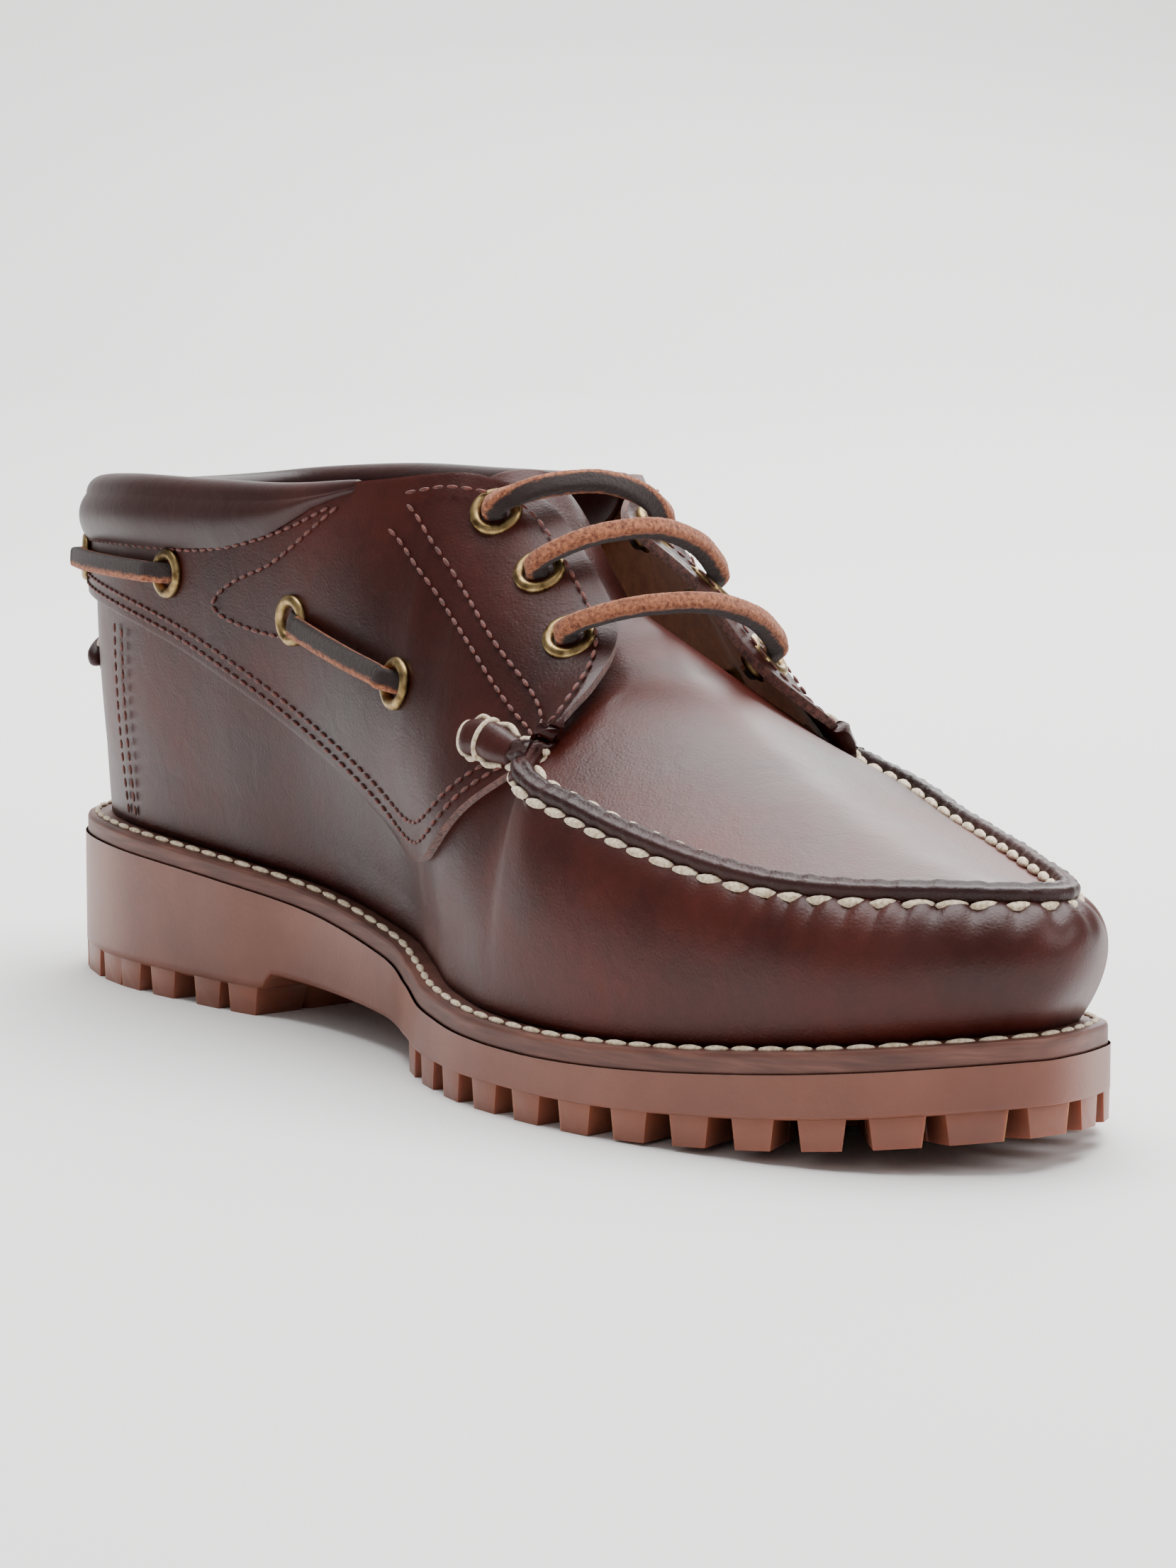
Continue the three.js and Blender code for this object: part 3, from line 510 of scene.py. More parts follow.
def apply(piece, kind, **settings):
    """Adds a modifier of one kind, with its settings, and applies it."""
    pick(piece)
    modifier = piece.modifiers.new(kind.lower(), kind)
    for key, value in settings.items():
        setattr(modifier, key, value)
    bpy.ops.object.modifier_apply(modifier=modifier.name)
    return piece


def thicken(piece, thickness, offset=-1.0, round_edge=0.35):
    """Gives a panel its thickness. The cut edge takes the second finish, the inside the third."""
    edges = len(piece.data.materials) > 1
    apply(piece, "SOLIDIFY", thickness=thickness * MM, offset=offset, use_rim=True,
          material_offset_rim=1 if edges else 0, material_offset=2 if edges else 0)
    if round_edge:
        apply(piece, "BEVEL", width=round_edge * MM, segments=2, limit_method="ANGLE",
              angle_limit=math.radians(50))
    return piece


def wear(piece, *materials):
    for material in materials:
        piece.data.materials.append(material)
    return piece


def hand_over(piece, slot, *nodes):
    """The piece rides on the shoe and stands for CAD nodes, which are hidden. The slot is not used."""
    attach(piece, "root")
    if nodes:
        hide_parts(*nodes)
    print(piece.name, len(piece.data.polygons), "faces")
    return piece


# %% [markdown]
# ## Lower leather and quarters
# One long piece of leather wraps the foot from the toe to the heel, like a moccasin. At the toe it
# is gathered into the seam, which makes small upright puckers. A second piece, the quarter, lies
# over it: it is the saddle band round the heel and it widens to the front into the eyelet flaps.
# Its lower edge dips to the arch and climbs round the front lobe.

# %% The lower leather
PUCKER_PITCH = 6.4


def puckers(u, v):
    """How far the gathers under the toe seam pull the leather in."""
    rim = on_ring(rim_ring, u)
    angle = np.arctan2(rim[..., 1], rim[..., 0] - 262)
    toe = np.clip((u - 13.6) / 2.2, 0, 1) * np.clip((22.4 - u) / 2.2, 0, 1)
    wave = 0.5 + 0.5 * np.cos(angle * 38 * 2 * math.pi / PUCKER_PITCH + 0.8 * np.sin(angle * 9))
    return toe * wave**2 * np.clip((v - 0.52) / 0.48, 0, 1) ** 1.2


def folded(u):
    """Distance round the ring from the heel, the same on both sides of the shoe."""
    return np.minimum(np.abs(u % RING), RING - np.abs(u % RING))


QUARTER_EDGE = ((0, 0.64), (1, 0.63), (1.9, 0.61), (2.9, 0.56), (3.5, 0.51), (4.1, 0.44), (4.7, 0.37),
                (5.3, 0.30), (5.9, 0.235), (6.5, 0.19), (7.1, 0.175), (7.7, 0.195), (8.3, 0.245),
                (8.9, 0.32), (9.5, 0.41), (10.1, 0.52), (10.6, 0.63), (11.1, 0.76), (11.6, 0.88), (12, 0.97))
QUARTER_EDGE_LINE = open_line(QUARTER_EDGE, 400)


def quarter_edge(u):
    """Height of the quarter's lower edge, the same on both sides of the shoe."""
    return np.interp(folded(u), QUARTER_EDGE_LINE[:, 0], QUARTER_EDGE_LINE[:, 1])


def lower_wall(s, t):
    u = s * RING
    hidden = 0.5 - 0.5 * np.cos(math.pi * np.clip((SEAM_START + 0.2 - folded(u)) / 1.6, 0, 1))
    ends = np.clip((folded(u) - SEAM_START) / 0.4, 0, 1)
    top = np.minimum(0.955 + 0.045 * ends, np.where(folded(u) < SEAM_START, quarter_edge(u) + 0.08, 1))
    v = t * top
    lift = -1.3 * puckers(u, v) - 0.5 * hidden * np.clip(t * 4, 0, 1)
    spread = 0.8 * np.exp(-(((folded(u) - SEAM_START) / 1.3) ** 2)) * np.clip((1 - v) / 0.2, 0, 1)
    return sum(proud(u + k * spread, v, lift) for k in (-1, -0.5, 0, 0.5, 1)) / 5


lower = wear(cut_panel("lower_leather", 720, 44, lower_wall), burgundy)
weld(lower)
thicken(lower, 1.5, round_edge=0)
hand_over(lower, "upper_leather", "upper")

# %% The quarters with the saddle band and the eyelet flaps
QUARTER_END = 11.5


def quarter_skin(s, t):
    u = (2 * s - 1) * QUARTER_END
    low = quarter_edge(u)
    corner = 1 - 0.24 * np.clip((np.abs(u) - 10.75) / (QUARTER_END - 10.75), 0, 1) ** 1.6
    corner = np.maximum(corner, low + 0.03)
    v = low + (corner - low) * t
    lobe = np.clip((np.abs(u) - 7.5) / 3, 0, 1)
    free = lobe * np.clip((t - 0.35) / 0.5, 0, 1) * np.clip((1 - low) / 0.3, 0, 1)
    lift = 1.25 + 0.9 * free * np.where(u < 0, 1.6, 1.0)
    return proud(u, v, lift)


quarters = wear(cut_panel("quarters", 560, 46, quarter_skin), burgundy, raw_edge, lining)
thicken(quarters, 1.9)
FLAP_CORNER = metres((196, 0, 0))[0]
for face in quarters.data.polygons:
    if face.center.x > FLAP_CORNER and face.material_index == 2:
        face.material_index = 0
hand_over(quarters, "upper_leather")

# %% [markdown]
# ## Padded collar
# The collar is a soft roll of smooth leather over foam. It swells out above the saddle band, rolls
# over the rim and goes down inside. Towards the throat it narrows and meets the eyelet flap.

# %% The collar
COLLAR_END = 5.75


def collar_skin(s, t):
    u = (2 * s - 1) * COLLAR_END
    reach = np.abs(u) / COLLAR_END
    low = np.interp(np.abs(u), (0, 3.5, 4.2, 4.8, 5.3, COLLAR_END), (0.78, 0.77, 0.79, 0.85, 0.93, 0.97))
    puff = np.sqrt(np.clip(1 - reach**5, 0, 1))
    radius = 0.9 + 3.3 * puff
    over = np.clip(t / 0.5, 0, 1)
    top = 1 - (radius * 0.9) / 75
    v = low + (top - low) * over
    outer = proud(u, v, 1.1 + 2.7 * puff * np.sin(math.pi * np.clip(over * 0.8 + 0.02, 0, 1)) ** 0.8)
    flat = wall_normal(u, top) * (1, 1, 0)
    flat = unit(flat)
    shoulder = proud(u, top, 1.1 + 2.7 * puff * math.sin(math.pi * 0.82) ** 0.8)
    turn = np.clip((t - 0.5) / 0.3, 0, 1) * math.pi
    down = np.clip((t - 0.8) / 0.2, 0, 1)
    roll = shoulder - flat * (radius * (1 - np.cos(turn)))[:, None]
    roll[..., 2] += radius * 0.95 * np.sin(turn) - (3 + 13 * puff) * down
    roll += flat * ((1.0 * down + 1.6 * np.sin(down * math.pi)) * puff)[:, None]
    return np.where((t <= 0.5)[:, None], outer, roll)


collar = wear(cut_panel("padded_collar", 300, 48, collar_skin), collar_leather)
thicken(collar, 1.0, round_edge=0)
hand_over(collar, "upper_leather")

# %% [markdown]
# ## Apron
# The apron is the panel on top of the foot. It runs from its rough cut back edge, under the lace,
# to the toe, and it is highest towards the inner side. The ridge hides its sewn edge. A cloth could
# be dropped on the last, but a surface between two edges and a crown line keeps its height exact.

# %% The apron
CROWN_SHARE = 0.44
BACK = ((178, 20, 74, 4), (185, 27, 68, 3), (192, 34, 62, 2))


def apron_edges():
    inner = [(x, -half, z + tilt) for x, half, z, tilt in BACK]
    outer = [(x, half, z - tilt) for x, half, z, tilt in BACK]
    for u in np.arange(SEAM_START, SPAN - 0.02, 0.25):
        a = on_ring(rim_ring, u) - outward(u) * 0.7
        b = on_ring(rim_ring, RING - u) - outward(RING - u) * 0.7
        inner.append(tuple(a - (0, 0, 0.2)))
        outer.append(tuple(b - (0, 0, 0.2)))
    return open_line(inner, 600), open_line(outer, 600)


APRON_INNER, APRON_OUTER = apron_edges()


def fall(share, rounding):
    return (np.hypot(share, rounding) - rounding) / (math.hypot(1, rounding) - rounding)


def apron_surface(s, t):
    steps = np.linspace(0, 1, len(APRON_INNER))
    inner = np.stack([np.interp(s, steps, APRON_INNER[:, k]) for k in range(3)], -1)
    outer = np.stack([np.interp(s, steps, APRON_OUTER[:, k]) for k in range(3)], -1)
    point = inner + (outer - inner) * t[..., None]
    middle = inner + (outer - inner) * CROWN_SHARE
    crown = np.maximum(apron_crown(middle[..., 0]), np.maximum(inner[..., 2], outer[..., 2]) + 0.5)
    on_inner = t < CROWN_SHARE
    share = np.where(on_inner, 1 - t / CROWN_SHARE, (t - CROWN_SHARE) / (1 - CROWN_SHARE))
    side = np.where(on_inner, inner[..., 2], outer[..., 2])
    drop = np.where(on_inner, fall(share, 0.4), fall(share, 0.16))
    point[..., 2] = crown + (side - crown) * drop
    return point


apron = wear(cut_panel("apron", 170, 80, apron_surface), apron_leather, raw_edge, lining)
weld(apron)
thicken(apron, 2.0, round_edge=0.3)
hand_over(apron, "upper_leather")


# %% [markdown]
# ## Ridge
# Where the apron and the lower leather meet, their edges are pinched together over a cord and sewn
# through. That raised ridge is burnished darker. It runs on a finger's width past the seam on each
# side, over the quarter, and ends in a round nose. A curve with a bevel could make it, but a swept
# section can also be squared, grooved and pinched by each stitch.

# %% Sweep helper
def sweep(name, route, sections, around=20):
    """A closed tube along a route. sections says which way is up and how wide and high the tube is,
    and it may say how square, rough, grooved or turned (in radians) the tube is."""
    route = np.asarray(route, float)
    tangent = unit(np.gradient(route, axis=0))
    up = unit(sections["up"] - tangent * np.einsum("ij,ij->i", sections["up"], tangent)[:, None])
    side = np.cross(tangent, up)
    turn = np.broadcast_to(sections.get("turn", 0.0), len(route))
    square = sections.get("square", 1.0)
    chance = np.random.default_rng(7).uniform(-1, 1, (len(route), around))

    def lay(s, t):
        i = np.clip(np.round(t * (len(route) - 1)).astype(int), 0, len(route) - 1)
        angle = s * 2 * math.pi
        rough = 1 + sections.get("rough", 0) * chance[i, np.round(s * around).astype(int) % around]
        groove = 1 - sections.get("groove", 0) * np.exp(-((angle - math.pi / 2) / 0.3) ** 2)
        c, d = np.cos(angle) * rough, np.sin(angle) * rough * groove
        a = np.sign(c) * np.abs(c) ** square * np.broadcast_to(sections["width"], len(route))[i] / 2
        b = np.sign(d) * np.abs(d) ** square * np.broadcast_to(sections["height"], len(route))[i] / 2
        cos, sin = np.cos(turn[i]), np.sin(turn[i])
        return (route[i] + side[i] * (a * cos - b * sin)[:, None]
                + up[i] * (a * sin + b * cos)[:, None])

    piece = cut_panel(name, around, len(route) - 1, lay)
    weld(piece, 0.005)
    bpy.ops.object.mode_set(mode="EDIT")
    bpy.ops.mesh.select_all(action="SELECT")
    bpy.ops.mesh.fill_holes(sides=0)
    bpy.ops.mesh.normals_make_consistent(inside=False)
    bpy.ops.object.mode_set(mode="OBJECT")
    return piece


# %% The ridge
NOSE_U = (8.9, 9.4, 9.9, 10.4, 10.9, 11.4)
NOSE_V = (0.47, 0.52, 0.56, 0.62, 0.72, 0.86)
RIDGE_STEP = 0.45
NOSE_LENGTH = 16
MOCCASIN_PITCH = 5.7        # the thick stitches, which also pinch the ridge


def ridge_route():
    """Points along the middle of the ridge, and the way that is up for each."""
    points, ups = [], []
    for u, v in zip(NOSE_U, NOSE_V):
        points.append(proud(np.array(u), np.array(v), 1.9))
        ups.append(wall_normal(np.array(u), np.array(v)))
    for u in np.arange(SEAM_START, RING - SEAM_START + 0.01, 0.5):
        points.append(on_ring(rim_ring, u) - outward(u) * 0.6 + (0, 0, 0.5))
        ups.append(unit(outward(u) * 0.4 + np.array((0, 0, 1.0))))
    for u, v in zip(NOSE_U[::-1], NOSE_V[::-1]):
        points.append(proud(np.array(RING - u), np.array(v), 1.9))
        ups.append(wall_normal(np.array(RING - u), np.array(v)))
    points, ups = open_line(points, 700), open_line(ups, 700)
    run = np.concatenate([[0], np.cumsum(np.linalg.norm(np.diff(points, axis=0), axis=1))])
    even = np.arange(0, run[-1], RIDGE_STEP)
    return (np.stack([np.interp(even, run, points[:, k]) for k in range(3)], -1),
            unit(np.stack([np.interp(even, run, ups[:, k]) for k in range(3)], -1)))


RIDGE, RIDGE_UP = ridge_route()
ridge_along = unit(np.gradient(RIDGE, axis=0))
ridge_side = unit(np.cross(ridge_along, RIDGE_UP))
even = np.arange(len(RIDGE)) * RIDGE_STEP
RIDGE_LENGTH = float(even[-1])
hidden_steps = int((NOSE_LENGTH - 5) / RIDGE_STEP)
body = slice(hidden_steps, len(RIDGE) - hidden_steps)
ripple = (1 + 0.045 * np.sin(even * 2 * math.pi / MOCCASIN_PITCH) + 0.035 * np.sin(even * 1.9)
          + 0.03 * np.sin(even * 0.31))
ridge = sweep("moccasin_ridge", RIDGE[body], {
    "up": RIDGE_UP[body], "width": (4.0 * ripple)[body], "height": (3.8 * ripple)[body],
    "square": 0.75, "groove": 0.3, "rough": 0.02}, 28)
wear(ridge, dark_leather)
hand_over(ridge, "upper_leather")
print("ridge length", round(RIDGE_LENGTH), "mm")


# %% The round noses at its two ends
def rounded(distance, reach):
    """1 along a strip, falling to nearly nothing at its end like a quarter circle."""
    return np.sqrt(np.clip(1 - (1 - np.clip(distance / reach, 0, 1)) ** 2, 0.004, 1))


for nose_name in ("inner", "outer"):
    count = int((NOSE_LENGTH + 1) / RIDGE_STEP)
    part = slice(0, count) if nose_name == "inner" else slice(len(RIDGE) - count, len(RIDGE))
    distance = even[:count] if nose_name == "inner" else even[:count][::-1]
    shape = rounded(distance, 3.2) * (1 - 0.3 * np.clip((distance - 10) / 7, 0, 1) ** 1.5)
    nose = sweep("ridge_nose_" + nose_name, RIDGE[part] - RIDGE_UP[part] * 0.3, {
        "up": RIDGE_UP[part], "width": 7.0 * shape, "height": 5.4 * shape, "square": 0.85}, 24)
    wear(nose, burgundy)
    hand_over(nose, "upper_leather")

# %% [markdown]
# ## Stitches
# One stitch is modelled once, as a short fat bean of thread, and copied along every seam. The thick
# cream moccasin stitches lie on both sides of the ridge, the welt stitches on the ledge of the
# midsole, and thin red-brown rows on the quarters. An array on a curve could repeat it, but each
# stitch must also lean with the leather under it, so a loop lays them one by one.


# %% One stitch, copied along a seam
def bean():
    bpy.ops.object.select_all(action="DESELECT")
    bpy.ops.mesh.primitive_uv_sphere_add(segments=8, ring_count=6, radius=1)
    ball = bpy.context.object
    points = np.empty(len(ball.data.vertices) * 3)
    ball.data.vertices.foreach_get("co", points)
    points = points.reshape(-1, 3)[:, [2, 0, 1]]
    faces = [tuple(p.vertices) for p in ball.data.polygons]
    bpy.data.objects.remove(ball)
    points[:, 0] = np.sign(points[:, 0]) * np.abs(points[:, 0]) ** 1.15
    return points, faces


BEAN_POINTS, BEAN_FACES = bean()


def stitches(name, starts, ends, normals, width, height, material, sag=0.0):
    """One bean of thread from each start to each end, lying on the surface."""
    starts, ends, normals = (np.asarray(a, float) for a in (starts, ends, normals))
    along = ends - starts
    length = np.linalg.norm(along, axis=1, keepdims=True)
    x = along / length
    z = unit(normals - x * np.einsum("ij,ij->i", normals, x)[:, None])
    y = np.cross(z, x)
    middle = (starts + ends) / 2
    all_points, all_faces = [], []
    for k in range(len(starts)):
        p = BEAN_POINTS
        bow = sag * (1 - p[:, :1] ** 2)
        placed = (middle[k] + x[k] * p[:, :1] * length[k] / 2 + y[k] * p[:, 1:2] * width / 2
                  + z[k] * (p[:, 2:3] * height / 2 + bow))
        all_faces += [tuple(i + len(p) * k for i in face) for face in BEAN_FACES]
        all_points.append(placed)
    piece = new_piece(name, np.vstack(all_points), all_faces)
    bpy.ops.object.shade_smooth()
    wear(piece, material)
    hand_over(piece, "upper_leather")


def along_line(points, pitch):
    """Points at an even pitch along a line, and where they are along it."""
    points = np.asarray(points, float)
    steps = np.concatenate([[0], np.cumsum(np.linalg.norm(np.diff(points, axis=0), axis=1))])
    count = max(2, int(round(steps[-1] / pitch)) + 1)
    places = np.linspace(0, steps[-1], count)
    return np.stack([np.interp(places, steps, points[:, k]) for k in range(3)], -1)


# %% Moccasin stitches on both sides of the ridge
first = int((NOSE_LENGTH - 1) / RIDGE_STEP)
for side_name, sign, reach, lower_by in (("outer_row", 1, 2.7, 0.95), ("inner_row", -1, 2.45, 0.55)):
    centre_line = RIDGE + ridge_side * sign * reach - RIDGE_UP * lower_by
    line = along_line(centre_line[first:-first], MOCCASIN_PITCH)
    index = np.round(np.linspace(first, len(RIDGE) - first - 1, len(line))).astype(int)
    lean = RIDGE_UP[index] * 0.7 + ridge_side[index] * sign * 0.7
    tuck = -ridge_side[index] * sign
    begin = line[:-1] * 1.03 - line[1:] * 0.03 - tuck[:-1] * 0.3
    end = line[1:] * 0.99 + line[:-1] * 0.01 + tuck[1:] * 0.35
    stitches("moccasin_" + side_name, begin, end, lean[:-1], 1.95, 1.7, cream_thread, 0.15)


# %% Thread that wraps over the noses
def cord(name, points, thickness):
    """A round cord through the given points."""
    route = open_line(points, 40)
    middle = route.mean(axis=0)
    piece = sweep(name, route, {"up": route - middle, "width": thickness, "height": thickness}, 10)
    wear(piece, cream_thread)
    hand_over(piece, "upper_leather")


def nose_point(distance, from_end, across, up):
    i = int(round(distance / RIDGE_STEP))
    i = i if from_end == "inner" else len(RIDGE) - 1 - i
    return RIDGE[i] + ridge_side[i] * across + RIDGE_UP[i] * up


for nose_name in ("inner", "outer"):
    for wrap, (distance, half, height) in enumerate(((1.5, 2.9, 2.0), (6.8, 3.75, 2.65))):
        arch = [nose_point(distance, nose_name, half * math.cos(a), height * math.sin(a) - 0.4)
                for a in np.linspace(-0.35, math.pi + 0.35, 9)]
        cord("nose_wrap_" + nose_name + "_" + str(wrap), arch, 1.25)
    for sign in (1, -1):
        for part, (near_end, far_end, half) in enumerate(((1.6, 6.7, 3.6), (6.9, 14.0, 3.6))):
            middle = (near_end + far_end) / 2
            run_points = [nose_point(near_end, nose_name, sign * (half - 0.6), -0.6),
                          nose_point(middle, nose_name, sign * (half + 0.5), -0.3),
                          nose_point(far_end, nose_name, sign * (half - 0.7), -0.6)]
            cord("nose_thread_" + nose_name + ("_out_" if sign > 0 else "_in_") + str(part),
                 run_points, 1.25)

# %% Welt stitches on the ledge
ledge_u = np.linspace(0, RING, 1500)
ledge = edge(ledge_u, np.full(ledge_u.shape, 2.5))
ledge[:, 2] = midsole_top(ledge[:, 0]) + 0.3
ledge = along_line(ledge, 5.6)
welt_up = np.tile((0, 0, 1.0), (len(ledge) - 1, 1))
stitches("welt_stitches", ledge[:-1] * 0.97 + ledge[1:] * 0.03, ledge[:-1] * 0.05 + ledge[1:] * 0.95,
         welt_up, 1.4, 1.2, cream_thread)


# %% Thin rows on the quarters, and the heel
def surface_row(points, lift, pitch):
    """Stitches through places (u, v) on the last, on both sides of the shoe."""
    line = open_line([(u, v, 0) for u, v in points], 300)
    rows = []
    for u in (line[:, 0], RING - line[:, 0]):
        path = along_line(proud(u, line[:, 1], np.full(len(u), lift)), pitch)
        spots = np.linspace(0, 1, len(path)) * (len(line) - 1)
        at = np.round(spots).astype(int)
        normal = wall_normal(u[at], line[at, 1])
        rows.append((path[:-1] * 0.9 + path[1:] * 0.1, path[:-1] * 0.12 + path[1:] * 0.88,
                     normal[:-1]))
    return rows


def rim_offset(us, distance):
    return [(u, below_rim(u, distance)) for u in us]


FLAP_RIM_U = (6.4, 6.9, 7.4, 7.7, 8.2, 8.8, 9.4, 9.9, 10.3, 10.7, 11.2)
SEWN_EDGE = QUARTER_EDGE[:17]
THIN_ROWS = (
    # the way it runs, how far it stands off the last, its pitch
    (((6.45, 0.90), (7.2, 0.745), (8.2, 0.67), (9.2, 0.675), (10.4, 0.73), (11.2, 0.83)), 1.85, 3.1),
    (((6.3, 0.84), (7.05, 0.69), (8.0, 0.615), (9.0, 0.61), (9.8, 0.63), (10.5, 0.69)), 1.75, 3.1),
    (rim_offset(FLAP_RIM_U, 4.3), 2.6, 3.0),
    ([(u, v + 0.030) for u, v in SEWN_EDGE], 1.45, 3.0),
    ([(u, v + 0.062) for u, v in SEWN_EDGE], 1.45, 3.0),
    (((0, 0.79), (1.5, 0.785), (3.3, 0.775), (4.1, 0.79), (4.9, 0.86), (5.5, 0.93)), 1.5, 3.0),
    (((5.6, 0.93), (4.9, 0.78), (4.35, 0.70), (4.1, 0.62), (4.5, 0.58), (5.2, 0.57)), 1.5, 3.0),
    (((2.76, 0.02), (2.76, 0.3), (2.78, 0.53)), 0.25, 2.8),
    (((2.9, 0.02), (2.9, 0.3), (2.92, 0.52)), 0.25, 2.8),
)
rows = [row for points, lift, pitch in THIN_ROWS for row in surface_row(points, lift, pitch)]
joined = [np.vstack([row[k] for row in rows]) for k in range(3)]
stitches("quarter_stitches", *joined, 0.78, 0.62, red_thread)
print("thin stitches", len(joined[0]))

# %% [markdown]
# ## Heel ridge
# The lower leather is closed at the back of the heel with a second, shorter moccasin ridge. The same
# sweep makes it, with its ends tapered by a quarter circle.

# %% The heel ridge and its stitches
heel_u = np.linspace(-1.85, 1.85, 160)
heel_v = 0.50 - 0.11 * (np.abs(heel_u) / 1.85) ** 1.5
HEEL_ROUTE = proud(heel_u, heel_v, 0.6)
HEEL_UP = wall_normal(heel_u, heel_v)
heel_run = np.linspace(0, 1, 160)
from_heel_end = np.clip(np.minimum(heel_run, 1 - heel_run) * 20, 0, 1)
heel_taper = np.sqrt(np.clip(1 - (1 - from_heel_end) ** 2, 0.02, 1))
heel_ridge = sweep("heel_ridge", HEEL_ROUTE, {"up": HEEL_UP, "width": 4.4 * heel_taper,
                                              "height": 4.0 * heel_taper, "square": 0.8}, 16)
wear(heel_ridge, dark_leather)
hand_over(heel_ridge, "upper_leather")
heel_side = np.cross(unit(np.gradient(HEEL_ROUTE, axis=0)), HEEL_UP)
for sign in (1, -1):
    line = along_line((HEEL_ROUTE + heel_side * sign * 2.6 - HEEL_UP * 0.6)[4:-4], MOCCASIN_PITCH)
    index = np.round(np.linspace(4, 155, len(line))).astype(int)
    stitches("heel_row_" + ("low" if sign > 0 else "high"), line[:-1], line[1:] * 0.92 + line[:-1] * 0.08,
             HEEL_UP[index][:-1], 1.5, 1.35, cream_thread)

# %% [markdown]
# ## Eyelets
# An eyelet is a brass tube set through the leather, with its rim rolled over into a round bead. A
# torus would show no barrel, so a profile is turned about the eyelet's axis, as on a lathe.

# %% Eyelets
EYELET_PLACES = (("top", 7.75, 7.75, 0.88), ("middle", 8.75, 8.75, 0.86), ("bottom", 9.65, 9.65, 0.85),
                 ("side_a", 6.8, 7.4, 0.47), ("side_b", 5.1, 5.1, 0.62), ("side_c", 3.6, 3.6, 0.70),
                 ("side_d", 2.0, 2.0, 0.72))
EYELETS = {}
for row_name, inner_u, outer_u, rise in EYELET_PLACES:
    for side_name, place_u in (("inner", inner_u), ("outer", RING - outer_u)):
        spot_u, spot_v = np.array(place_u), np.array(rise)
        EYELETS[side_name + "_" + row_name] = (wall(spot_u, spot_v), wall_normal(spot_u, spot_v))


def eyelet(name, centre, normal):
    reference = np.array((1.0, 0, 0)) if abs(normal[0]) < 0.9 else np.array((0, 1.0, 0))
    x = unit(np.cross(normal, reference))
    y = np.cross(normal, x)
    profile = open_line([(3.2, -2.4), (2.75, -2.0), (2.72, 0.6), (2.85, 1.8), (3.4, 2.55),
                         (4.3, 2.6), (4.95, 2.15), (5.1, 1.6), (4.9, 1.2)], 20)

    def lay(s, t):
        i = np.round(t * (len(profile) - 1)).astype(int)
        angle = -s * 2 * math.pi
        radius, height = profile[i, 0], profile[i, 1]
        return (centre + x * (radius * np.cos(angle))[:, None] + y * (radius * np.sin(angle))[:, None]
                + normal * height[:, None])

    piece = weld(cut_panel(name, 36, len(profile) - 1, lay), 0.005)
    wear(piece, brass)
    return piece


for key, (centre, normal) in EYELETS.items():
    ring_piece = eyelet("brass_eyelet_" + key, centre, normal)
    hand_over(ring_piece, "eyelet_brass", "eyelet_" + key)

# %% [markdown]
# ## Lace
# The lace is one strip of rawhide, nearly square in section. It comes up through an eyelet, arches
# over the throat and goes down through the other one, and the top stretch is twisted, so that it
# shows its smooth dark side. On the sides it dips in and out of the quarter.

# %% Lace bars over the throat
LACE_WIDTH, LACE_HEIGHT = 4.2, 3.3
BAR_SHAPES = (("top", 9.5, 1.5, 1.9), ("middle", 9.5, 4, 0.15), ("bottom", 9.5, 6, 0.15))


def bar_route(row_name, lift, forward):
    near, near_up = EYELETS["inner_" + row_name]
    far, far_up = EYELETS["outer_" + row_name]
    up = unit(near_up + far_up)
    start = near + near_up * 3.8
    stop = far + far_up * 3.8
    points = [near - near_up * 3.6, near - near_up * 1.0]
    for share in (0.0, 0.08, 0.25, 0.5, 0.75, 0.92, 1.0):
        rise = lift * math.sin(math.pi * share) ** 0.7
        point = start + (stop - start) * share + up * rise
        point[0] += forward * math.sin(math.pi * share)
        points.append(point)
    points += [far - far_up * 1.0, far - far_up * 3.6]
    return open_line(points, 170)


for row_name, lift, forward, twist in BAR_SHAPES:
    route = bar_route(row_name, lift, forward)
    ahead = np.tile((-0.35, 0.0, 1.0), (len(route), 1))
    share = np.linspace(0, 1, len(route))
    turn = twist * np.sin(math.pi * np.clip((share - 0.13) / 0.62, 0, 1)) ** 1.2
    strip = sweep("lace_bar_" + row_name + "_strip", route, {"up": ahead, "width": LACE_WIDTH,
                  "height": LACE_HEIGHT, "square": 0.5, "turn": turn, "rough": 0.05}, 32)
    wear(strip, rawhide)
    hand_over(strip, "lace_rawhide", "lace_bar_" + row_name)

# %% Side runs of lace
for side_name in ("inner", "outer"):
    for run_name, first, last in (("front", "side_a", "side_b"), ("rear", "side_c", "side_d")):
        rows_by_name = {row[0]: row for row in EYELET_PLACES}
        column = 1 if side_name == "inner" else 2
        u0, u1 = rows_by_name[first][column], rows_by_name[last][column]
        v0, v1 = rows_by_name[first][3], rows_by_name[last][3]
        if side_name == "outer":
            u0, u1 = RING - u0, RING - u1
        share = np.linspace(-0.06, 1.06, 90)
        depth = 2.6 + 1.7 * np.sin(math.pi * np.clip(share, 0, 1)) ** 0.5
        dive = np.clip(np.minimum(share, 1 - share) / 0.1, -1, 1)
        depth = np.where(dive < 1, 3.9 * dive + 0.4, depth)
        share_in = np.clip(share, 0.0, 1.0)
        u = u0 + (u1 - u0) * share_in
        v = v0 + (v1 - v0) * share_in
        route = proud(u, v, depth)
        strip = sweep("lace_" + side_name + "_" + run_name + "_strip", route,
                      {"up": wall_normal(u, v), "width": LACE_WIDTH, "height": 2.9, "square": 0.5,
                       "turn": math.pi}, 24)
        wear(strip, rawhide)
        hand_over(strip, "lace_rawhide", "lace_" + side_name + "_" + run_name)

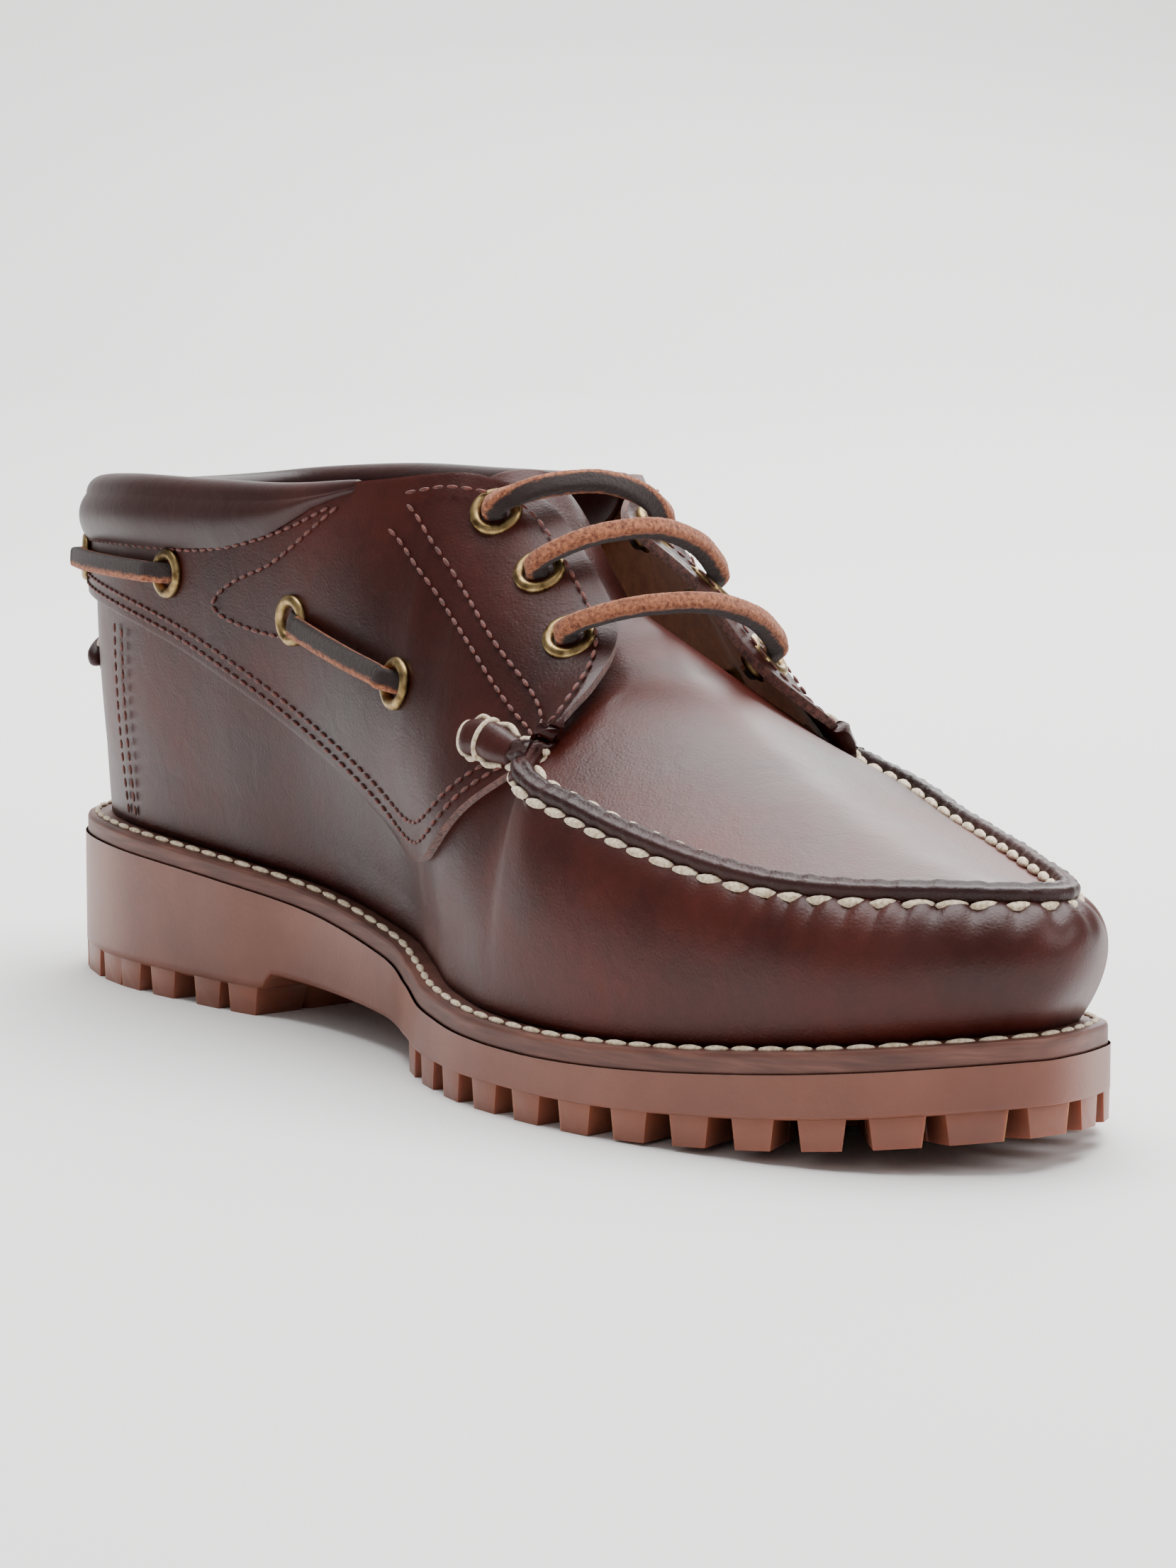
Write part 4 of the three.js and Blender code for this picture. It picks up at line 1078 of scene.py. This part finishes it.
# %% [markdown]
# ## Tongue
# A soft tongue lies under the lace and leans to the inner side. It is a flat grid bent over a line
# of arches, since a plain curved plate would not narrow to its round top.

# %% The tongue
TONGUE_LINE = open_line(TONGUE, 80)


def tongue_skin(s, t):
    place = s * (len(TONGUE_LINE) - 1)
    row = np.stack([np.interp(place, np.arange(len(TONGUE_LINE)), TONGUE_LINE[:, k]) for k in range(5)], -1)
    angle = (t - 0.5) * math.pi * 0.94
    x = row[:, 0]
    y = row[:, 1] - row[:, 3] * np.sin(angle)
    z = row[:, 2] - row[:, 4] * (1 - np.cos(angle))
    return np.stack([x, y, z], -1)


tongue = wear(cut_panel("tongue_leather", 70, 40, tongue_skin), burgundy, raw_edge, lining)
thicken(tongue, 2.0, offset=-1.0, round_edge=0.3)
hand_over(tongue, "tongue_leather", "tongue")

# %% [markdown]
# ## Sole
# The sole is three layers: an insole inside, a leather-board midsole whose ledge takes the welt
# stitches, and a thick gum outsole moulded with a deep tread.


# %% Insole and midsole
def half_ring_plate(inset, height):
    def lay(s, t):
        u = s * SPAN
        a = edge(u, np.full(u.shape, inset))
        b = edge(RING - u, np.full(u.shape, inset))
        point = a + (b - a) * t[..., None]
        point[..., 2] = height(point[..., 0], t)
        return point
    return lay


insole = wear(cut_panel("insole_sock", 150, 30, half_ring_plate(
    WELT_LEDGE + 2.6, lambda x, t: midsole_top(x) + 3.6 + 1.2 * np.abs(2 * t - 1) ** 3)), insole_leather)
weld(insole)
thicken(insole, 3.0, round_edge=0)
hand_over(insole, "insole_leather", "insole")

MIDSOLE_PROFILE = ((9.5, 0.0), (5.0, 0.0), (1.5, 0.0), (0.75, -0.2), (0.5, -0.8), (0.5, -2.0),
                   (0.5, -MIDSOLE_THICKNESS + 0.2), (2.5, -MIDSOLE_THICKNESS + 0.1),
                   (9.5, -MIDSOLE_THICKNESS + 0.1))


def midsole_band(s, t):
    profile = np.asarray(MIDSOLE_PROFILE)
    place = t * (len(profile) - 1)
    inset = np.interp(place, np.arange(len(profile)), profile[:, 0])
    drop = np.interp(place, np.arange(len(profile)), profile[:, 1])
    u = -s * RING
    point = edge(u, inset)
    point[..., 2] = midsole_top(on_ring(foot_ring, u)[..., 0]) + drop
    return point


midsole = wear(cut_panel("midsole_board", 540, 32, midsole_band), board)
weld(midsole)
hand_over(midsole, "midsole_leather", "midsole")


# %% [markdown]
# The outsole's body is one shell: down the inner side, across the underside and up the outer side.
# The tread bars are short lofts from the sole's edge inwards. Each has a V notch and a groove, as
# the mould leaves them. Four-petal studs fill the middle, and wedges fan round the heel.

# %% Outsole body
TOE_SPRING, TOE_SPRING_START = 6.2, 222
WAIST_CLEARANCE = 8.8
HEEL_FRONT = 94


def spring(x):
    return TOE_SPRING * (np.maximum(0, np.asarray(x) - TOE_SPRING_START) / (TOE_TIP - TOE_SPRING_START)) ** 2


def waist_height(x):
    """The underside ahead of the heel: high at the waist, coming down to the forefoot tread."""
    forward = np.clip((np.asarray(x) - HEEL_FRONT - 1) / 70, 0, 1)
    return WAIST_CLEARANCE + (spring(x) + LUG_DEPTH - WAIST_CLEARANCE) * forward


def root_height(x):
    """The height at which the tread starts."""
    return np.where(np.asarray(x) < HEEL_FRONT, LUG_DEPTH, waist_height(x))


def outsole_shell(s, t):
    u = s * SPAN
    near = edge(u, np.zeros(u.shape))
    far = edge(RING - u, np.zeros(u.shape))
    side = np.clip(np.minimum(t, 1 - t) / 0.16, 0, 1)
    across = np.clip((t - 0.16) / 0.68, 0, 1)
    bottom = near + (far - near) * across[..., None]
    x = bottom[..., 0]
    breast = HEEL_FRONT + 0.0014 * (bottom[..., 1] - 8) ** 2
    heel = 1 / (1 + np.exp(np.clip((x - breast) / 0.5, -40, 40)))
    floor_z = waist_height(x) * (1 - heel) + LUG_DEPTH * heel
    top_z = midsole_top(x) - MIDSOLE_THICKNESS + 0.25
    bottom[..., 2] = floor_z + (top_z - floor_z) * (1 - side)
    return bottom


outsole = wear(cut_panel("outsole_body", 420, 90, outsole_shell), gum)
weld(outsole)
apply(outsole, "BEVEL", width=0.7 * MM, segments=2, limit_method="ANGLE",
      angle_limit=math.radians(45))
hand_over(outsole, "gum_rubber", "outsole")

# %% Tread bars
OUTLINE_U = np.linspace(0, RING, 2400, endpoint=False)
OUTLINE = edge(OUTLINE_U, np.full(OUTLINE_U.shape, 0.12))
BAR_ENDS = open_line(((176, -11.5), (206.5, -20.5), (236, -19), (259.5, -14.5), (270.5, -5.5),
                      (261, 5), (238, 15.5), (208, 22.5), (175.5, 23.5)), 241)


def outline_reach(inner, direction, across_direction, offset):
    """How far along a direction the sole's edge is, at an offset to its side."""
    relative = OUTLINE[:, :2] - inner
    across = relative @ across_direction - offset
    along = relative @ direction
    crossing = np.where((across[:-1] * across[1:] <= 0) & (along[:-1] > 0))[0]
    return max(along[i] for i in crossing)


def tread_bar(inner, outer, outer_width, inner_width, groove_at, notch_at):
    """Rings of points from the sole's edge to the inner end of one bar."""
    inner, outer = np.asarray(inner, float), np.asarray(outer, float)
    direction = (outer - inner) / np.linalg.norm(outer - inner)
    sideways = np.array((-direction[1], direction[0]))
    reach = [outline_reach(inner, direction, sideways, o) for o in (-outer_width / 2, outer_width / 2)]
    length = sum(reach) / 2
    stations = [(0.0, 0, 0), (groove_at - 0.55, 0, 0), (groove_at - 0.45, 1, 0.5),
                (groove_at + 0.45, 1, 0.5), (groove_at + 0.55, 0, 0), (notch_at - 1.3, 0, 0),
                (notch_at, 0, 1.4), (notch_at + 1.3, 0, 0), (length, 0, 0)]
    if groove_at <= 0:
        stations = [stations[0], *stations[5:]]
    if notch_at <= 0:
        stations = [*stations[:5], stations[-1]]
    rings = []
    for from_edge, groove, notch in stations:
        share = from_edge / length
        half = (outer_width + (inner_width - outer_width) * share) / 2
        ring_points = []
        for across, level in ((-1, "root"), (-1, "ground"), (-0.5, "ground"), (0, "ground"), (0.5, "ground"),
                              (1, "ground"), (1, "root")):
            draft = 0.75 if level == "ground" else 0
            offset = across * (half - draft - (notch if level == "ground" and abs(across) == 1 else 0))
            local = reach[0] + (reach[1] - reach[0]) * (offset / max(outer_width, 1e-6) + 0.5)
            along = local * (1 - share)
            xy = inner + direction * along + sideways * offset
            z = spring(xy[0]) + (1.5 * groove if level == "ground" else 0)
            if level == "root":
                z = root_height(xy[0]) + 0.5
            ring_points.append((xy[0], xy[1], float(z)))
        rings.append(ring_points)
    return rings


def loft_all(name, lofts):
    points, faces = [], []
    for rings in lofts:
        base = len(points)
        n = len(rings[0])
        for ring_points in rings:
            points += ring_points
        for r in range(len(rings) - 1):
            for k in range(n):
                a, b = base + r * n + k, base + r * n + (k + 1) % n
                faces.append((a, b, b + n, a + n))
        faces.append(tuple(base + k for k in range(n))[::-1])
        faces.append(tuple(base + (len(rings) - 1) * n + k for k in range(n)))
    piece = new_piece(name, points, faces)
    bpy.ops.object.mode_set(mode="EDIT")
    bpy.ops.mesh.select_all(action="SELECT")
    bpy.ops.mesh.normals_make_consistent(inside=False)
    bpy.ops.object.mode_set(mode="OBJECT")
    apply(piece, "BEVEL", width=0.35 * MM, segments=2, limit_method="ANGLE",
          angle_limit=math.radians(38))
    bpy.ops.object.shade_smooth_by_angle(angle=math.radians(40))
    return piece


FOREFOOT_GAPS = 24
HEEL_WEDGES = 9
HEEL_FAN = math.radians(196)
bars = []
forefoot = OUTLINE[OUTLINE[:, 0] > 166]
split = np.argmax(np.linalg.norm(np.diff(forefoot, axis=0), axis=1)) + 1
if np.linalg.norm(forefoot[split] - forefoot[split - 1]) > 20:
    forefoot = np.vstack([forefoot[split:], forefoot[:split]])
forefoot_length = np.linalg.norm(np.diff(forefoot, axis=0), axis=1).sum()
mids = along_line(forefoot, forefoot_length / FOREFOOT_GAPS)
for k, mid in enumerate(mids):
    inner_end = BAR_ENDS[k * 10, :2]
    toe_share = 1 - abs(2 * k / FOREFOOT_GAPS - 1)
    outer_width = 8.4 + 1.8 * max(0, 1 - abs(k - 11) / 2.2)
    bars.append(tread_bar(inner_end, mid[:2], outer_width, 5.4 - 1.6 * toe_share, 11.5, 21))
HEEL_BARS = ((87, 85.5, 14, 1), (73.5, 75, 13.2, 1), (57.5, 61, 13.2, 1), (43, 51.5, 13.2, 1),
             (90, 87.5, -7, -1), (78, 77.5, -7, -1), (62, 62.5, -7.5, -1), (48.5, 52, -8, -1))
for edge_x, end_x, end_y, side in HEEL_BARS:
    bars.append(tread_bar((end_x, end_y), (edge_x, 45 * side), 9, 6.5, 0, 13))
for k in range(HEEL_WEDGES):
    angle = math.pi + HEEL_FAN * ((k + 0.5) / HEEL_WEDGES - 0.5)
    spoke = np.array((math.cos(angle), math.sin(angle)))
    centre = np.array((42, 0.5))
    wedge_width = 13.4 if 0 < k < HEEL_WEDGES - 1 else 10.5
    bars.append(tread_bar(centre + spoke * 12, centre + spoke * 60, wedge_width, 3.8, 15, 0))
tread = wear(loft_all("tread_bars", bars), tread_gum_painted_lighter)
hand_over(tread, "gum_rubber")

# %% Four-petal studs and the plain plaque
STUDS = ((255.5, -8), (241, -1.5), (220, 4.5), (226, -12), (195.5, 9), (204, -7), (175.5, 3.5),
         (78.5, 3), (52, 2))
STUD_RINGS = ((0.0, "root", 1.7), (-0.5, "ground", 1.7), (-3.2, "ground", 0.2),
              (-3.4, "dimple", 0.1))
studs = []
for stud_x, stud_y in STUDS:
    rings = []
    for grow, level, petals in STUD_RINGS:
        ring_points = []
        for k in range(32):
            angle = k / 32 * 2 * math.pi
            radius = 4.9 + grow + petals * math.cos(4 * angle)
            x, y = stud_x + radius * math.cos(angle), stud_y + radius * math.sin(angle)
            z = float(spring(x)) + (1.1 if level == "dimple" else 0)
            if level == "root":
                z = float(root_height(x)) + 0.5
            ring_points.append((x, y, z))
        rings.append(ring_points)
    studs.append(rings)
stud_piece = wear(loft_all("tread_studs", studs), tread_gum_painted_lighter)
hand_over(stud_piece, "gum_rubber")


def plaque_frame(s, t):
    corners = np.array(((126.4, 34.7), (128.9, -7.5), (114.3, -7.5), (112, 34.7), (126.4, 34.7)))
    place = s * 4
    x = np.interp(place, range(5), corners[:, 0])
    y = np.interp(place, range(5), corners[:, 1])
    cx, cy = 120.4, 13.6
    size = 1 + 0.035 * np.cos(t * 2 * math.pi)
    x, y = cx + (x - cx) * (1 + 0.08 * np.cos(t * 2 * math.pi)), cy + (y - cy) * size
    z = root_height(x) - 0.55 * np.clip(np.sin(t * 2 * math.pi), -0.5, 1)
    return np.stack([x, y, z], -1)


plaque = wear(weld(cut_panel("plain_plaque", 80, 12, plaque_frame)), gum)
hand_over(plaque, "gum_rubber")
